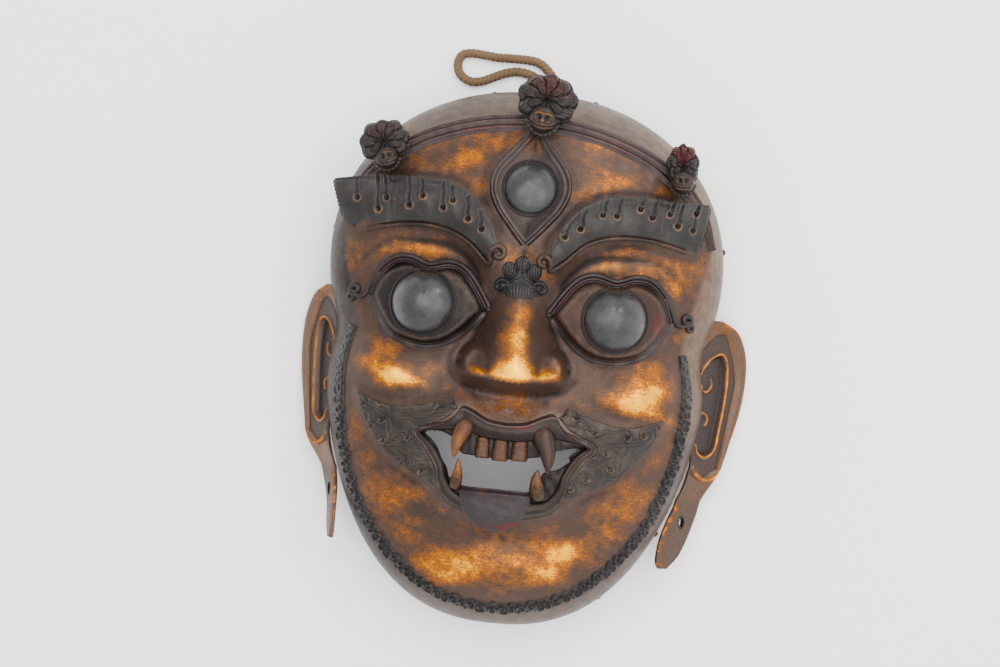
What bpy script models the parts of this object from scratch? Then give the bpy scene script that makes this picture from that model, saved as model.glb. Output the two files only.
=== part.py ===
"""A hammered copper dance mask: hollow face shell, three eye domes, two sheet ears, three skull ornaments,
rim studs and a rope loop. It lies face up: +X to the viewer's right, +Y to the top of the head, +Z out of the face."""

import math

import bmesh
import bpy
import numpy as np

MM = 0.001

# ---- driving sizes, in millimetres ----
SHIFT_X, SHIFT_Y = -3.604, -0.800      # puts the box of the rigid pieces on the origin
HALF_WIDTH = 142.0                # half width of the skull at its widest
WIDEST_Y = 65.0
CROWN = 126.0                     # widest line up to the crown
JAW = 257.5                       # widest line down to the chin
CROWN_EXP, JAW_EXP = 2.15, 2.38
WAIST = 0.062                     # narrowing at the ear roots
WAIST_Y, WAIST_LEN = 11.0, 26.0
WALL_UP = 30.0                    # height of the upright side wall
CAP_RISE = 77.0                   # rise of the face above that wall
SHEET = 2.0                       # thickness of the sheet
GAP = 0.35                        # clearance kept between touching pieces
DOME_R, THIRD_R = 22.0, 18.5
EYE = (67.0, 32.0)
THIRD_EYE = (0.0, 118.0)
CORD_R = 3.45
GRID = 32                         # cells across the shell's grid
WALL_SHARE = 0.06                 # share of the grid's rings spent on the upright wall


# ---- small helpers ----
def sstep(a, b, v):
    t = np.clip((np.asarray(v, float) - a) / (b - a), 0.0, 1.0)
    return t * t * (3.0 - 2.0 * t)


def bell(x, y, cx, cy, sx, sy):
    return np.exp(-(((x - cx) / sx) ** 2) - ((y - cy) / sy) ** 2)


def smax(a, b, k):
    """Smooth maximum of two heights, blended over k millimetres."""
    h = np.clip(0.5 + 0.5 * (a - b) / k, 0.0, 1.0)
    return b + (a - b) * h + k * h * (1.0 - h)


def spline(points, count, closed=False):
    """Catmull-Rom curve through the points, count samples a span."""
    p = np.asarray(points, float)
    n = len(p)
    spans = n if closed else n - 1
    out = []
    for i in range(spans):
        if closed:
            a, b, c, d = p[(i - 1) % n], p[i], p[(i + 1) % n], p[(i + 2) % n]
        else:
            b, c = p[i], p[i + 1]
            a = p[i - 1] if i else 2 * b - c
            d = p[i + 2] if i + 2 < n else 2 * c - b
        for k in range(count):
            t = k / count
            out.append(0.5 * (2 * b + (c - a) * t + (2 * a - 5 * b + 4 * c - d) * t * t + (3 * b - a - 3 * c + d) * t ** 3))
    if not closed:
        out.append(p[-1])
    return np.array(out)


def near(x, y, line):
    """Distance from each point to a polyline, and how far along it (0 to 1) the nearest place lies."""
    x, y = np.asarray(x, float), np.asarray(y, float)
    best = np.full(x.shape, 1e9)
    along = np.zeros(x.shape)
    step = np.hypot(*np.diff(line, axis=0).T)
    run = np.concatenate([[0.0], np.cumsum(step)])
    for i in range(len(line) - 1):
        ax, ay = line[i]
        bx, by = line[i + 1] - line[i]
        t = np.clip(((x - ax) * bx + (y - ay) * by) / max(bx * bx + by * by, 1e-9), 0, 1)
        d = np.hypot(x - ax - t * bx, y - ay - t * by)
        closer = d < best
        best = np.where(closer, d, best)
        along = np.where(closer, (run[i] + t * step[i]) / run[-1], along)
    return best, along


def inside(x, y, ring):
    x, y = np.asarray(x, float), np.asarray(y, float)
    hit = np.zeros(x.shape, bool)
    n = len(ring)
    for i in range(n):
        ax, ay = ring[i]
        bx, by = ring[(i + 1) % n]
        cross = (ay > y) != (by > y)
        with np.errstate(divide="ignore", invalid="ignore"):
            hit ^= cross & (x < (bx - ax) * (y - ay) / (by - ay) + ax)
    return hit


def depth_in(x, y, ring):
    """Distance to the edge of a closed outline, positive inside it."""
    closed = np.vstack([ring, ring[:1]])
    d, _ = near(x, y, closed)
    return np.where(inside(x, y, ring), d, -d)


# ---- outline and base form ----
def edge_radius(theta):
    """Radius of the egg outline from the face's centre, before the waist at the ears."""
    theta = np.asarray(theta, float)
    c, s = np.cos(theta), np.sin(theta)
    low, high = np.zeros(theta.shape), np.full(theta.shape, 400.0)
    for _ in range(40):
        r = 0.5 * (low + high)
        x, y = np.abs(r * c) / HALF_WIDTH, r * s - WIDEST_Y
        up = x ** CROWN_EXP + np.clip(y / CROWN, 0, 9) ** CROWN_EXP
        down = x ** JAW_EXP + np.clip(-y / JAW, 0, 9) ** JAW_EXP
        out = np.where(y > 0, up, down) > 1.0
        high, low = np.where(out, r, high), np.where(out, low, r)
    return 0.5 * (low + high)


THETA = np.linspace(-math.pi, math.pi, 1441)
EDGE = edge_radius(THETA)


def waist(x, y, rho):
    return x * (1.0 - WAIST * np.exp(-(((y - WAIST_Y) / WAIST_LEN) ** 2)) * sstep(0.62, 0.97, rho))


def bulge(theta):
    return 2.2 + 0.7 * np.clip(-np.sin(theta), 0, 1) ** 2


def base_height(x, y):
    theta = np.arctan2(y, x)
    rho = np.clip(np.hypot(x, y) / np.interp(theta, THETA, EDGE), 0, 1)
    p = bulge(theta)
    return WALL_UP + CAP_RISE * (1.0 - rho ** p) ** (1.0 / p)


# ---- feature lines, for the right half and mirrored with |x| ----
LID_UP = spline([(21.5, 31), (33, 48.5), (42, 57.5), (52, 60), (66, 57), (79, 61.5), (90, 60), (100.5, 50), (107.5, 34)], 6)
LID_LOW = spline([(21.5, 31), (35, 15.5), (47, 6), (60, 1.8), (76, 3), (92, 11), (107.5, 34)], 6)
ALMOND = np.vstack([LID_UP, LID_LOW[::-1][1:-1]])
BROW = np.vstack([
    spline([(18, 74), (21, 83), (30, 98), (42, 109), (56, 115.5), (82, 117.5), (108, 117), (131, 115)], 5),
    spline([(128, 107), (116, 81), (94, 87), (74, 88), (52, 83), (34, 71), (22, 63)], 5),
])
BROW_SPINE = spline([(16.5, 68), (26, 79), (40, 93), (56, 100), (82, 103), (104, 101), (122, 98)], 6)
MOUSTACHE = np.vstack([
    spline([(40, -31), (60, -38), (84, -41), (109, -33)], 5),
    spline([(108, -36), (97, -60), (76, -80), (47, -94)], 5),
    spline([(44, -86), (52, -72), (66, -58), (60, -47), (44, -44)], 5),
])
MOUTH = spline([(0, -58), (14, -57), (27, -54), (38, -54), (47, -55), (59, -57.5), (49, -66), (41.5, -77), (38, -87), (30, -97), (14, -99), (0, -99)], 3)
MOUTH_RING = np.vstack([MOUTH, (MOUTH * (-1, 1))[::-1][1:-1]])
LIP = spline([(0, -49.3), (14, -46), (25, -41.3), (33, -39.8), (42, -49), (62, -57.5), (55, -67), (46.5, -79), (43.5, -92), (34, -103), (18, -108), (0, -109)], 4)
NOSE_W = np.array([(-16, 34), (-5, 31), (6, 26), (20, 20.5), (42, 15), (60, 10)])
TRIM = spline([(117, 12), (122.5, -16), (121.5, -45), (115, -78), (101, -113), (77, -144.5), (48, -166), (18, -175.5), (0, -177)], 6)
BAND = spline([(0, 168), (28, 166), (53, 160.5), (80, 149.5), (103, 133), (121, 112), (131, 88)], 6)
DROP = spline([(0, 161), (10.5, 146), (22.5, 130), (25.2, 117), (20.5, 104), (10.5, 91), (0, 79)], 6)
DROP_RING = np.vstack([DROP, (DROP * (-1, 1))[::-1][1:-1]])


def relief(x, y):
    """Height of the larger modelling above the base form, straight out of the face."""
    a = np.abs(x)
    h = np.zeros(np.shape(x))
    # sockets, eyeballs under their lids, and the roll below each brow
    h -= 8.0 * np.exp(-((((a - 66) / 52) ** 2 + ((y - 32) / 40) ** 2) ** 2))
    ball = 1.0 - ((a - 66) / 45) ** 2 - ((y - 30) / 32) ** 2
    h += 17.0 * np.sqrt(np.clip(ball, 0, 1)) * sstep(0.0, 0.25, ball)
    d, along = near(a, y, BROW_SPINE)
    h += 9.0 * np.exp(-((d / 15) ** 2)) * sstep(1.0, 0.72, along)
    # brow plates stand proud
    h += 4.0 * sstep(-6, 5, depth_in(a, y, BROW))
    # forehead, third eye
    h += 5.0 * bell(x, y, 0, 116, 44, 52)
    # nose: a ridge that widens to the wings, cut off steeply below
    rise = 4.0 + 43.0 * np.clip((56 - y) / 70, 0, 1) ** 1.1
    q = a / np.interp(y, NOSE_W[:, 0], NOSE_W[:, 1])
    body = rise * (1.22 - np.sqrt(q * q + 0.05)) * sstep(66, 48, y)
    wing = 18.0 * np.sqrt(np.clip(1 - ((a - 28) / 10.5) ** 2 - ((y + 5) / 13) ** 2, 0, 1))
    foot = -17.0 + 4.0 * (x / 36) ** 2
    nose = smax(smax(body, wing, 4.0), 0.0, 3.0) * np.clip((y - foot + 11) / 11, 0, 1) ** 0.8
    # muzzle, cheeks and chin
    muzzle = 13.0 * np.exp(-((((x / 60) ** 2 + ((y + 74) / 50) ** 2)) ** 2))
    cheek = 12.0 * bell(a, y, 88, -18, 27, 24)
    chin = 10.0 * bell(x, y, 0, -153, 46, 24)
    h += np.maximum(nose, 0) + muzzle + cheek + chin
    h += 3.0 * sstep(-6, 5, depth_in(a, y, MOUSTACHE))
    # lips round the mouth, teardrop frame, headband, jaw trim
    d, _ = near(a, y, LIP)
    h += 5.0 * np.exp(-((d / 9.0) ** 2))
    d, _ = near(a, y, DROP)
    h += 4.0 * np.exp(-((d / 6.5) ** 2))
    d, _ = near(a, y, BAND)
    h += 3.5 * np.exp(-((d / 9.0) ** 2)) * sstep(0, 30, base_height(x, y) - WALL_UP)
    return h


def shell_point(u, v, raised=0.0):
    """Point of the outer surface for a place in the square -1..1, centre of the face at the middle."""
    u, v = np.asarray(u, float), np.asarray(v, float)
    r = np.maximum(np.abs(u), np.abs(v))
    with np.errstate(divide="ignore", invalid="ignore"):
        theta = np.where(
            np.abs(u) >= np.abs(v),
            np.where(u >= 0, 0.0, math.pi) + math.pi / 4 * np.where(u == 0, 0, v / np.where(u == 0, 1, u)),
            np.where(v >= 0, math.pi / 2, -math.pi / 2) - math.pi / 4 * np.where(v == 0, 0, u / np.where(v == 0, 1, v)),
        )
    theta = (theta + math.pi) % (2 * math.pi) - math.pi
    radius = np.interp(theta, THETA, EDGE)
    p = bulge(theta)
    top = 1.0 - WALL_SHARE
    phi = np.clip(r / top, 0, 1) ** 1.22 * math.pi / 2
    rho = np.sin(phi) ** (2.0 / p)
    z = WALL_UP + CAP_RISE * np.clip(np.cos(phi), 0, 1) ** (2.0 / p)
    x, y = rho * radius * np.cos(theta), rho * radius * np.sin(theta)
    z = z + relief(x, y) * sstep(1.0, 0.93, rho)
    z = np.where(r > top, WALL_UP * (1 - (r - top) / (1 - top)) - 4.0 * np.clip((r - top) / (1 - top), 0, 1), z)
    return waist(x, y, rho), y, z


# ---- making objects ----
for old in list(bpy.data.objects):
    bpy.data.objects.remove(old, do_unlink=True)

MASK = bpy.data.collections.new("cham_mask")
CUTTERS = bpy.data.collections.new("cutters")
bpy.context.scene.collection.children.link(MASK)
bpy.context.scene.collection.children.link(CUTTERS)


def material(name, colour, rough, metal):
    m = bpy.data.materials.new(name)
    m.use_nodes = True
    s = m.node_tree.nodes["Principled BSDF"]
    s.inputs["Base Color"].default_value = (*colour, 1)
    s.inputs["Roughness"].default_value = rough
    s.inputs["Metallic"].default_value = metal
    return m


def file_in(obj, collection, mat=None):
    for c in list(obj.users_collection):
        c.objects.unlink(obj)
    collection.objects.link(obj)
    if collection is CUTTERS:
        obj.hide_render = True
        obj.display_type = "WIRE"
    if mat:
        obj.data.materials.clear()
        obj.data.materials.append(mat)
    return obj


def set_points(obj, x, y, z):
    co = np.stack([x + SHIFT_X, y + SHIFT_Y, z], 1) * MM
    obj.data.vertices.foreach_set("co", co.ravel())
    obj.data.update()


def grid_object(name, nx, ny, collection, mat=None):
    """A flat grid over the square -1..1 and its vertices' places in it."""
    bpy.ops.mesh.primitive_grid_add(x_subdivisions=nx, y_subdivisions=ny, size=2)
    obj = bpy.context.object
    obj.name = name
    obj.data.name = name
    co = np.empty(len(obj.data.vertices) * 3)
    obj.data.vertices.foreach_get("co", co)
    file_in(obj, collection, mat)
    return obj, co.reshape(-1, 3)


def apply_all(obj):
    """Makes the modifiers part of the mesh."""
    graph = bpy.context.evaluated_depsgraph_get()
    done = bpy.data.meshes.new_from_object(obj.evaluated_get(graph))
    obj.modifiers.clear()
    obj.data = done
    return obj


def boolean(obj, other, operation):
    m = obj.modifiers.new(operation.lower() + "_" + other.name, "BOOLEAN")
    m.operation = operation
    m.object = other
    m.solver = "EXACT"
    return m


def facet(obj):
    """Splits a mesh into flat triangles, so that every later cut sees the same surface."""
    bm = bmesh.new()
    bm.from_mesh(obj.data)
    bmesh.ops.remove_doubles(bm, verts=bm.verts, dist=0.00001)
    bmesh.ops.triangulate(bm, faces=bm.faces, quad_method="BEAUTY")
    bm.to_mesh(obj.data)
    bm.free()
    return obj


def join_on(obj, other):
    """Joins a piece on and makes that part of the mesh at once."""
    facet(other)
    boolean(obj, other, "UNION")
    facet(apply_all(obj))


def tidy(obj):
    """Triangulates what the Booleans left and turns every face outward."""
    bm = bmesh.new()
    bm.from_mesh(obj.data)
    bmesh.ops.remove_doubles(bm, verts=bm.verts, dist=0.000005)
    bmesh.ops.dissolve_degenerate(bm, edges=bm.edges, dist=0.000005)
    bmesh.ops.holes_fill(bm, edges=[e for e in bm.edges if e.is_boundary], sides=6)
    bmesh.ops.triangulate(bm, faces=bm.faces, quad_method="BEAUTY")
    bmesh.ops.recalc_face_normals(bm, faces=bm.faces)
    bm.to_mesh(obj.data)
    bm.free()
    return obj


GILT = material("gilt_copper", (0.55, 0.30, 0.10), 0.42, 0.8)
DARK = material("dark_copper", (0.16, 0.12, 0.10), 0.5, 0.6)
SILVER = material("silvered_eye", (0.36, 0.38, 0.40), 0.25, 0.3)
STRAW = material("straw_rope", (0.52, 0.38, 0.20), 0.9, 0.0)

# ---- face shell: displaced grid, given its thickness, back edge cut flat ----
skin, uv = grid_object("outer_skin", GRID, GRID, CUTTERS)
set_points(skin, *shell_point(uv[:, 0], uv[:, 1]))
bm = bmesh.new()
bm.from_mesh(skin.data)
bmesh.ops.triangulate(bm, faces=bm.faces, quad_method="SHORT_EDGE")
bm.to_mesh(skin.data)
bm.free()

shell = bpy.data.objects.new("face_shell", skin.data.copy())
MASK.objects.link(shell)
shell.data.materials.append(GILT)
thick = shell.modifiers.new("sheet", "SOLIDIFY")
thick.thickness = SHEET * MM
thick.offset = -1.0
thick.use_even_offset = False
facet(apply_all(shell))

bpy.ops.mesh.primitive_cube_add(size=1, location=(0, 0, -0.02))
floor_cut = file_in(bpy.context.object, CUTTERS)
floor_cut.name = "back_edge_cutter"
floor_cut.scale = (0.5, 0.6, 0.04)
boolean(shell, floor_cut, "DIFFERENCE")
facet(apply_all(shell))


def keep_largest(obj):
    """Drops loose scraps that a cut leaves behind."""
    bm = bmesh.new()
    bm.from_mesh(obj.data)
    left, groups = set(bm.verts), []
    while left:
        stack, group = [left.pop()], []
        while stack:
            v = stack.pop()
            group.append(v)
            for e in v.link_edges:
                o = e.other_vert(v)
                if o in left:
                    left.remove(o)
                    stack.append(o)
        groups.append(group)
    groups.sort(key=len, reverse=True)
    for group in groups[1:]:
        bmesh.ops.delete(bm, geom=group, context="VERTS")
    bm.to_mesh(obj.data)
    bm.free()
    return obj


def plate(name, ring, low, high, collection=None, mat=None):
    """A flat outline from low to high, as a filled 2D curve made into a mesh."""
    curve = bpy.data.curves.new(name + "_outline", "CURVE")
    curve.dimensions = "2D"
    curve.fill_mode = "BOTH"
    curve.extrude = 0.5 * (high - low) * MM
    line = curve.splines.new("POLY")
    line.points.add(len(ring) - 1)
    for point, (x, y) in zip(line.points, ring):
        point.co = ((x + SHIFT_X) * MM, (y + SHIFT_Y) * MM, 0, 1)
    line.use_cyclic_u = True
    source = bpy.data.objects.new(name + "_outline", curve)
    bpy.context.scene.collection.objects.link(source)
    source.location.z = 0.5 * (low + high) * MM
    bpy.context.view_layer.update()
    graph = bpy.context.evaluated_depsgraph_get()
    mesh = bpy.data.meshes.new_from_object(source.evaluated_get(graph))
    made = bpy.data.objects.new(name, mesh)
    made.matrix_world = source.matrix_world.copy()
    bpy.data.objects.remove(source, do_unlink=True)
    bm = bmesh.new()
    bm.from_mesh(mesh)
    bmesh.ops.remove_doubles(bm, verts=bm.verts, dist=0.00001)
    bmesh.ops.recalc_face_normals(bm, faces=bm.faces)
    bm.to_mesh(mesh)
    bm.free()
    target = collection or CUTTERS
    target.objects.link(made)
    if target is CUTTERS:
        made.hide_render = True
        made.display_type = "WIRE"
    if mat:
        mesh.materials.clear()
        mesh.materials.append(mat)
    return made


def place(obj, x, y, z):
    obj.location = ((x + SHIFT_X) * MM, (y + SHIFT_Y) * MM, z * MM)
    return obj


def ball(name, x, y, z, rx, ry, rz, segments=12, rings=8, turn=(0, 0, 0), collection=None, mat=None):
    bpy.ops.mesh.primitive_uv_sphere_add(segments=segments, ring_count=rings, radius=MM)
    obj = file_in(bpy.context.object, collection or CUTTERS, mat)
    obj.name = name
    obj.scale = (rx, ry, rz)
    obj.rotation_euler = [math.radians(t) for t in turn]
    return place(obj, x, y, z)


def spike(name, foot, tip, wide, narrow, sides=8):
    """A tapered tooth from foot to tip."""
    f, t = np.array(foot, float), np.array(tip, float)
    length = float(np.linalg.norm(t - f))
    bpy.ops.mesh.primitive_cone_add(vertices=sides, radius1=wide * MM, radius2=narrow * MM, depth=length * MM)
    obj = file_in(bpy.context.object, CUTTERS)
    obj.name = name
    from mathutils import Vector
    obj.rotation_mode = "QUATERNION"
    obj.rotation_quaternion = Vector((t - f) / length).to_track_quat("Z", "X")
    return place(obj, *(0.5 * (f + t)))


def surface(x, y):
    """Height of the outer surface at a place on the front."""
    x, y = np.atleast_1d(np.asarray(x, float)), np.atleast_1d(np.asarray(y, float))
    rho = np.hypot(x, y) / np.interp(np.arctan2(y, x), THETA, EDGE)
    return base_height(x, y) + relief(x, y) * sstep(1.0, 0.93, rho)


# ---- mouth: cut right through, then teeth, fangs and tongue joined on ----
mouth_cut = plate("mouth_cutter", MOUTH_RING, 60, 160)
facet(mouth_cut)
boolean(shell, mouth_cut, "DIFFERENCE")
facet(apply_all(shell))
for i, cx in enumerate((-15.2, -2.8, 9.8)):
    bpy.ops.mesh.primitive_cube_add(size=1)
    tooth = file_in(bpy.context.object, CUTTERS)
    tooth.name = "front_tooth_%d" % (i + 1)
    tooth.scale = (11.8 * MM, 20.0 * MM, 7.5 * MM)
    tooth.rotation_euler.x = math.radians(5)
    place(tooth, cx, -60.5, 119)
    join_on(shell, tooth)
for i, (foot, tip, wide) in enumerate((
    ((-28.0, -48, 117), (-33.8, -72, 121), 6.0), ((22.5, -48, 117), (30.4, -77, 121), 6.0),
    ((-34.5, -100, 114), (-31.3, -74.5, 120), 6.0), ((27.5, -103, 114), (24.2, -77, 120), 6.0),
)):
    join_on(shell, spike("fang_%d" % (i + 1), foot, tip, wide, 1.6))
join_on(shell, ball("tongue", -3.5, -106.5, 117.0, 24.0, 15.5, 7.5, 12, 6, (-8, 0, 0)))

# ---- brow ends stand free of the skull behind them ----
for side, tip_x, tip_y in ((-1, 136.0, 111.0), (1, 129.0, 117.0)):
    wing, q = grid_object("brow_end_left" if side < 0 else "brow_end_right", 5, 2, CUTTERS)
    s, t = 0.5 * (q[:, 0] + 1), 0.5 * (q[:, 1] + 1)
    x_top, y_top = 82 + (tip_x - 82) * s, 117.5 + (tip_y - 117.5) * s
    x_low, y_low = 80 + (118.0 - 80) * s, 88 + (84.0 - 88) * s
    x, y = x_low + (x_top - x_low) * t, y_low + (y_top - y_low) * t
    lean = np.clip(x - 92, 0, 60)
    z = np.maximum(surface(np.minimum(x, 92), y) + 1.0 - 0.62 * lean, 0) + 1.5 * t
    set_points(wing, x * side, y, z)
    solid = wing.modifiers.new("sheet", "SOLIDIFY")
    solid.thickness = 3.2 * MM
    solid.offset = -1.0 if side > 0 else 1.0
    apply_all(wing)
    bm = bmesh.new()
    bm.from_mesh(wing.data)
    bmesh.ops.recalc_face_normals(bm, faces=bm.faces)
    bm.to_mesh(wing.data)
    bm.free()
    join_on(shell, wing)
tidy(keep_largest(apply_all(shell)))

# ---- the same outer form, a hair larger and closed, trims what sits on it ----
block = bpy.data.objects.new("seat_cutter", skin.data.copy())
file_in(block, CUTTERS)
normals = np.empty(len(block.data.vertices) * 3)
block.data.vertices.foreach_get("normal", normals)
co = np.empty(len(normals))
block.data.vertices.foreach_get("co", co)
block.data.vertices.foreach_set("co", co + GAP * MM * normals)
bm = bmesh.new()
bm.from_mesh(block.data)
rim = [e for e in bm.edges if e.is_boundary]
bmesh.ops.contextual_create(bm, geom=rim)
bmesh.ops.triangulate(bm, faces=bm.faces)
bmesh.ops.recalc_face_normals(bm, faces=bm.faces)
bm.to_mesh(block.data)
bm.free()


def seat(obj):
    facet(obj)
    boolean(obj, block, "DIFFERENCE")
    return tidy(apply_all(obj))


# ---- eye domes ----
for name, x, y, r in (
    ("eye_dome_left", -EYE[0], EYE[1], DOME_R), ("eye_dome_right", EYE[0], EYE[1], DOME_R),
    ("eye_dome_third", *THIRD_EYE, THIRD_R),
):
    z = float(surface(x, y)[0])
    keep_largest(seat(ball(name, x, y, z - 5.0, r + 1.2, r + 1.2, 0.72 * r, 16, 8, collection=MASK, mat=SILVER)))

# ---- ears: dished sheet, fixed by the inner edge at the side wall ----
EAR_TOP, EAR_FOOT = 39.5, -142.0
OUT = np.array([(39.5, 17), (31, 34), (10, 43.4), (-22, 42), (-61, 30.5), (-84.5, 24), (-106, 19), (-130, 8.5), (-142, -4)])
IN = np.array([(39.5, 7), (28, 1.0), (-60, 0.0), (-90, 0.5), (-108, -7), (-122, -12.5), (-136, -14), (-142, -11)])
EAR_SET = {"ear_left": (-1, 38.0, 52.0, 24.0), "ear_right": (1, 32.0, 38.0, 3.0)}


def side_wall(y):
    """Half width of the rim at height y, with the waist."""
    y = np.asarray(y, float)
    up = np.clip((y - WIDEST_Y) / CROWN, 0, 1)
    down = np.clip((WIDEST_Y - y) / JAW, 0, 1)
    w = HALF_WIDTH * np.where(y > WIDEST_Y, (1 - up ** CROWN_EXP) ** (1 / CROWN_EXP), (1 - down ** JAW_EXP) ** (1 / JAW_EXP))
    return w * (1 - WAIST * np.exp(-(((y - WAIST_Y) / WAIST_LEN) ** 2)))


def ear_point(across, along, side, z0, tilt, twist):
    """across 0..1 from the root out, along 0..1 from the top down."""
    y = EAR_TOP + (EAR_FOOT - EAR_TOP) * along
    a_out = np.interp(-y, -OUT[:, 0], OUT[:, 1])
    a_in = np.interp(-y, -IN[:, 0], IN[:, 1])
    low = sstep(-70, -125, y)
    phi = np.radians(tilt + twist * low)
    a = a_in + (a_out - a_in) * across
    root = np.minimum(131.5, side_wall(np.maximum(y, -92)) + 2.4)
    root = np.where(y > -92, root, side_wall(-92.0) + 2.4 + (y + 92) * 0.0)
    rim = np.exp(-(((across - 0.93) / 0.10) ** 2)) * 2.2
    bowl = -3.2 * np.exp(-(((across - 0.45) / 0.28) ** 2) - ((y - 0) / 42.0) ** 2)
    d = rim + bowl + 1.5 * np.exp(-(((y + 64) / 7.0) ** 2))
    x = root + a * np.cos(phi) + d * np.sin(phi)
    z = z0 - a * np.sin(phi) + d * np.cos(phi)
    return side * x, y, z


for name, (side, z0, tilt, twist) in EAR_SET.items():
    ear, q = grid_object(name, 5, 15, MASK, GILT)
    across, along = 0.5 * (q[:, 0] + 1), 0.5 * (1 - q[:, 1])
    set_points(ear, *ear_point(across, along, side, z0, tilt, twist))
    sheet = ear.modifiers.new("sheet", "SOLIDIFY")
    sheet.thickness = 2.6 * MM
    sheet.offset = -1.0 if side > 0 else 1.0
    apply_all(ear)
    slot = ball("lobe_slot_" + name[4:], 0, 0, 0, 2.4, 3.6, 12.0, 8, 4)
    sx, sy, sz = ear_point(0.5, (EAR_TOP + 108.0) / (EAR_TOP - EAR_FOOT), side, z0, tilt, twist)
    slot.rotation_euler = (0, side * math.radians(tilt + 0.8 * twist), 0)
    place(slot, float(sx), float(sy), float(sz))
    tidy(ear)
    boolean(ear, slot, "DIFFERENCE")
    keep_largest(seat(ear))

# ---- skull ornaments on the headband ----
for name, x, y, size, lift, lean, roll in (
    ("skull_centre", 5.0, 176.0, 1.0, 17.0, -18, 0),
    ("skull_left", -105.0, 137.0, 0.86, 14.0, -12, 12), ("skull_right", 105.5, 139.0, 0.86, 14.0, -12, -12),
):
    zb = float(surface(x * 0.95, y * 0.95)[0]) + lift * size
    core = ball(name, x, y - 4 * size, zb, 10.5 * size, 12.0 * size, 12.0 * size, 9, 6, (lean, 0, roll), MASK, DARK)
    for k in range(5):
        turn = math.radians(90 + roll + (k - 2) * 38)
        reach = 13.0 * size
        px, py = x + reach * math.cos(turn), y + 2 * size + reach * math.sin(turn)
        petal = ball(name + "_petal_%d" % (k + 1), px, py, zb - 3 * size, 8.4 * size, 6.4 * size, 9.0 * size, 6, 3,
                     (0, 0, math.degrees(turn)))
        join_on(core, petal)
    foot = ball(name + "_foot", x, y + 2 * size, zb - 14 * size, 13 * size, 13 * size, 16 * size, 7, 4)
    join_on(core, foot)
    keep_largest(seat(core))

# ---- rivet heads round the back edge ----
STUDS = ((-35, 186), (38, 186), (-141, 82), (141, 90), (-114, -123), (114.5, -123), (-66, -172), (74, -169), (-1.5, -192))
for i, (x, y) in enumerate(STUDS):
    theta = math.atan2(y, x)
    r = float(np.interp(theta, THETA, EDGE))
    t2 = theta + 0.01
    r2 = float(np.interp(t2, THETA, EDGE))
    dx, dy = r2 * math.cos(t2) - r * math.cos(theta), r2 * math.sin(t2) - r * math.sin(theta)
    out = math.atan2(-dx, dy)
    bpy.ops.mesh.primitive_cone_add(vertices=8, radius1=2.5 * MM, radius2=1.2 * MM, depth=6.0 * MM)
    stud = file_in(bpy.context.object, MASK, DARK)
    stud.name = "rim_stud_%d" % (i + 1)
    stud.rotation_euler = (0, math.pi / 2, out)
    px, py, _ = shell_point(0, 0)
    wx = float(waist(np.array(r * math.cos(theta)), np.array(r * math.sin(theta)), np.array(1.0)))
    place(stud, wx + 0.2 * math.cos(out), r * math.sin(theta) + 0.2 * math.sin(out), 9.0)
    keep_largest(seat(stud))

# ---- rope loop lying on the ground ----
LOOP = spline([(11.0, 197.5), (6.5, 204.5), (1, 211), (-7, 216.2), (-20, 217.2), (-37, 217), (-52, 218.4), (-61.5, 217), (-65, 210.5), (-62.5, 202.2),
               (-54, 197.6), (-44, 199.5), (-33, 204.6), (-21, 207.8), (-9, 205.6), (-2.5, 200.5), (0.5, 197.0)], 2)
curve = bpy.data.curves.new("hanging_cord", "CURVE")
curve.dimensions = "3D"
curve.bevel_depth = CORD_R * MM
curve.bevel_resolution = 2
curve.use_fill_caps = True
line = curve.splines.new("POLY")
line.points.add(len(LOOP) - 1)
count = len(LOOP)
for i, (point, (x, y)) in enumerate(zip(line.points, LOOP)):
    rise = 5.0 * (float(sstep(3, 0, i)) + float(sstep(count - 4, count - 1, i)))
    point.co = ((x + SHIFT_X) * MM, (y + SHIFT_Y) * MM, (CORD_R + 0.05 + rise) * MM, 1)
cord = bpy.data.objects.new("hanging_cord", curve)
MASK.objects.link(cord)
curve.materials.append(STRAW)

for obj in MASK.objects:
    if obj.type == "MESH":
        for poly in obj.data.polygons:
            poly.use_smooth = False
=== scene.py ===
"""Looks of the hammered copper dance mask: fine skin, chased overlays, eye domes, ears, skull ornaments and rope,
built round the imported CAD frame, with studio light and a camera that matches the reference view."""

import math

import bpy
import numpy as np
from mathutils import Matrix, Vector


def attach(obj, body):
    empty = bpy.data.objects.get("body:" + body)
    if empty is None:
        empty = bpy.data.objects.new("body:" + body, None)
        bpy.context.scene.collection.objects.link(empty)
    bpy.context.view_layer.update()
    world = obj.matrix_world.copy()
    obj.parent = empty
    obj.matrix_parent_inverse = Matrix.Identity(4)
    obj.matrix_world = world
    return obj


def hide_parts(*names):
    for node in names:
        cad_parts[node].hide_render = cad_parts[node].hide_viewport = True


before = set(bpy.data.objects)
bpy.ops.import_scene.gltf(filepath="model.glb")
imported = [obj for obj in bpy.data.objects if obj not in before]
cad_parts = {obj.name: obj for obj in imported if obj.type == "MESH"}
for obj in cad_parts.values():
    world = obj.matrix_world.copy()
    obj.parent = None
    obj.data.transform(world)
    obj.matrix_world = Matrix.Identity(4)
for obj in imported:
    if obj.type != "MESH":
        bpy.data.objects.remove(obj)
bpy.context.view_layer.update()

# ---- driving sizes of the CAD part, in millimetres ----
SHIFT_X, SHIFT_Y = -3.604, -0.800
HALF_WIDTH, WIDEST_Y, CROWN, JAW = 142.0, 65.0, 126.0, 257.5
CROWN_EXP, JAW_EXP = 2.15, 2.38
WAIST, WAIST_Y, WAIST_LEN = 0.062, 11.0, 26.0
WALL_UP, CAP_RISE, SHEET = 30.0, 77.0, 2.0
DOME_R, THIRD_R = 22.0, 18.5
EYE, THIRD_EYE = (67.0, 32.0), (0.0, 118.0)
CORD_R = 3.45
WALL_SHARE = 0.06


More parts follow.
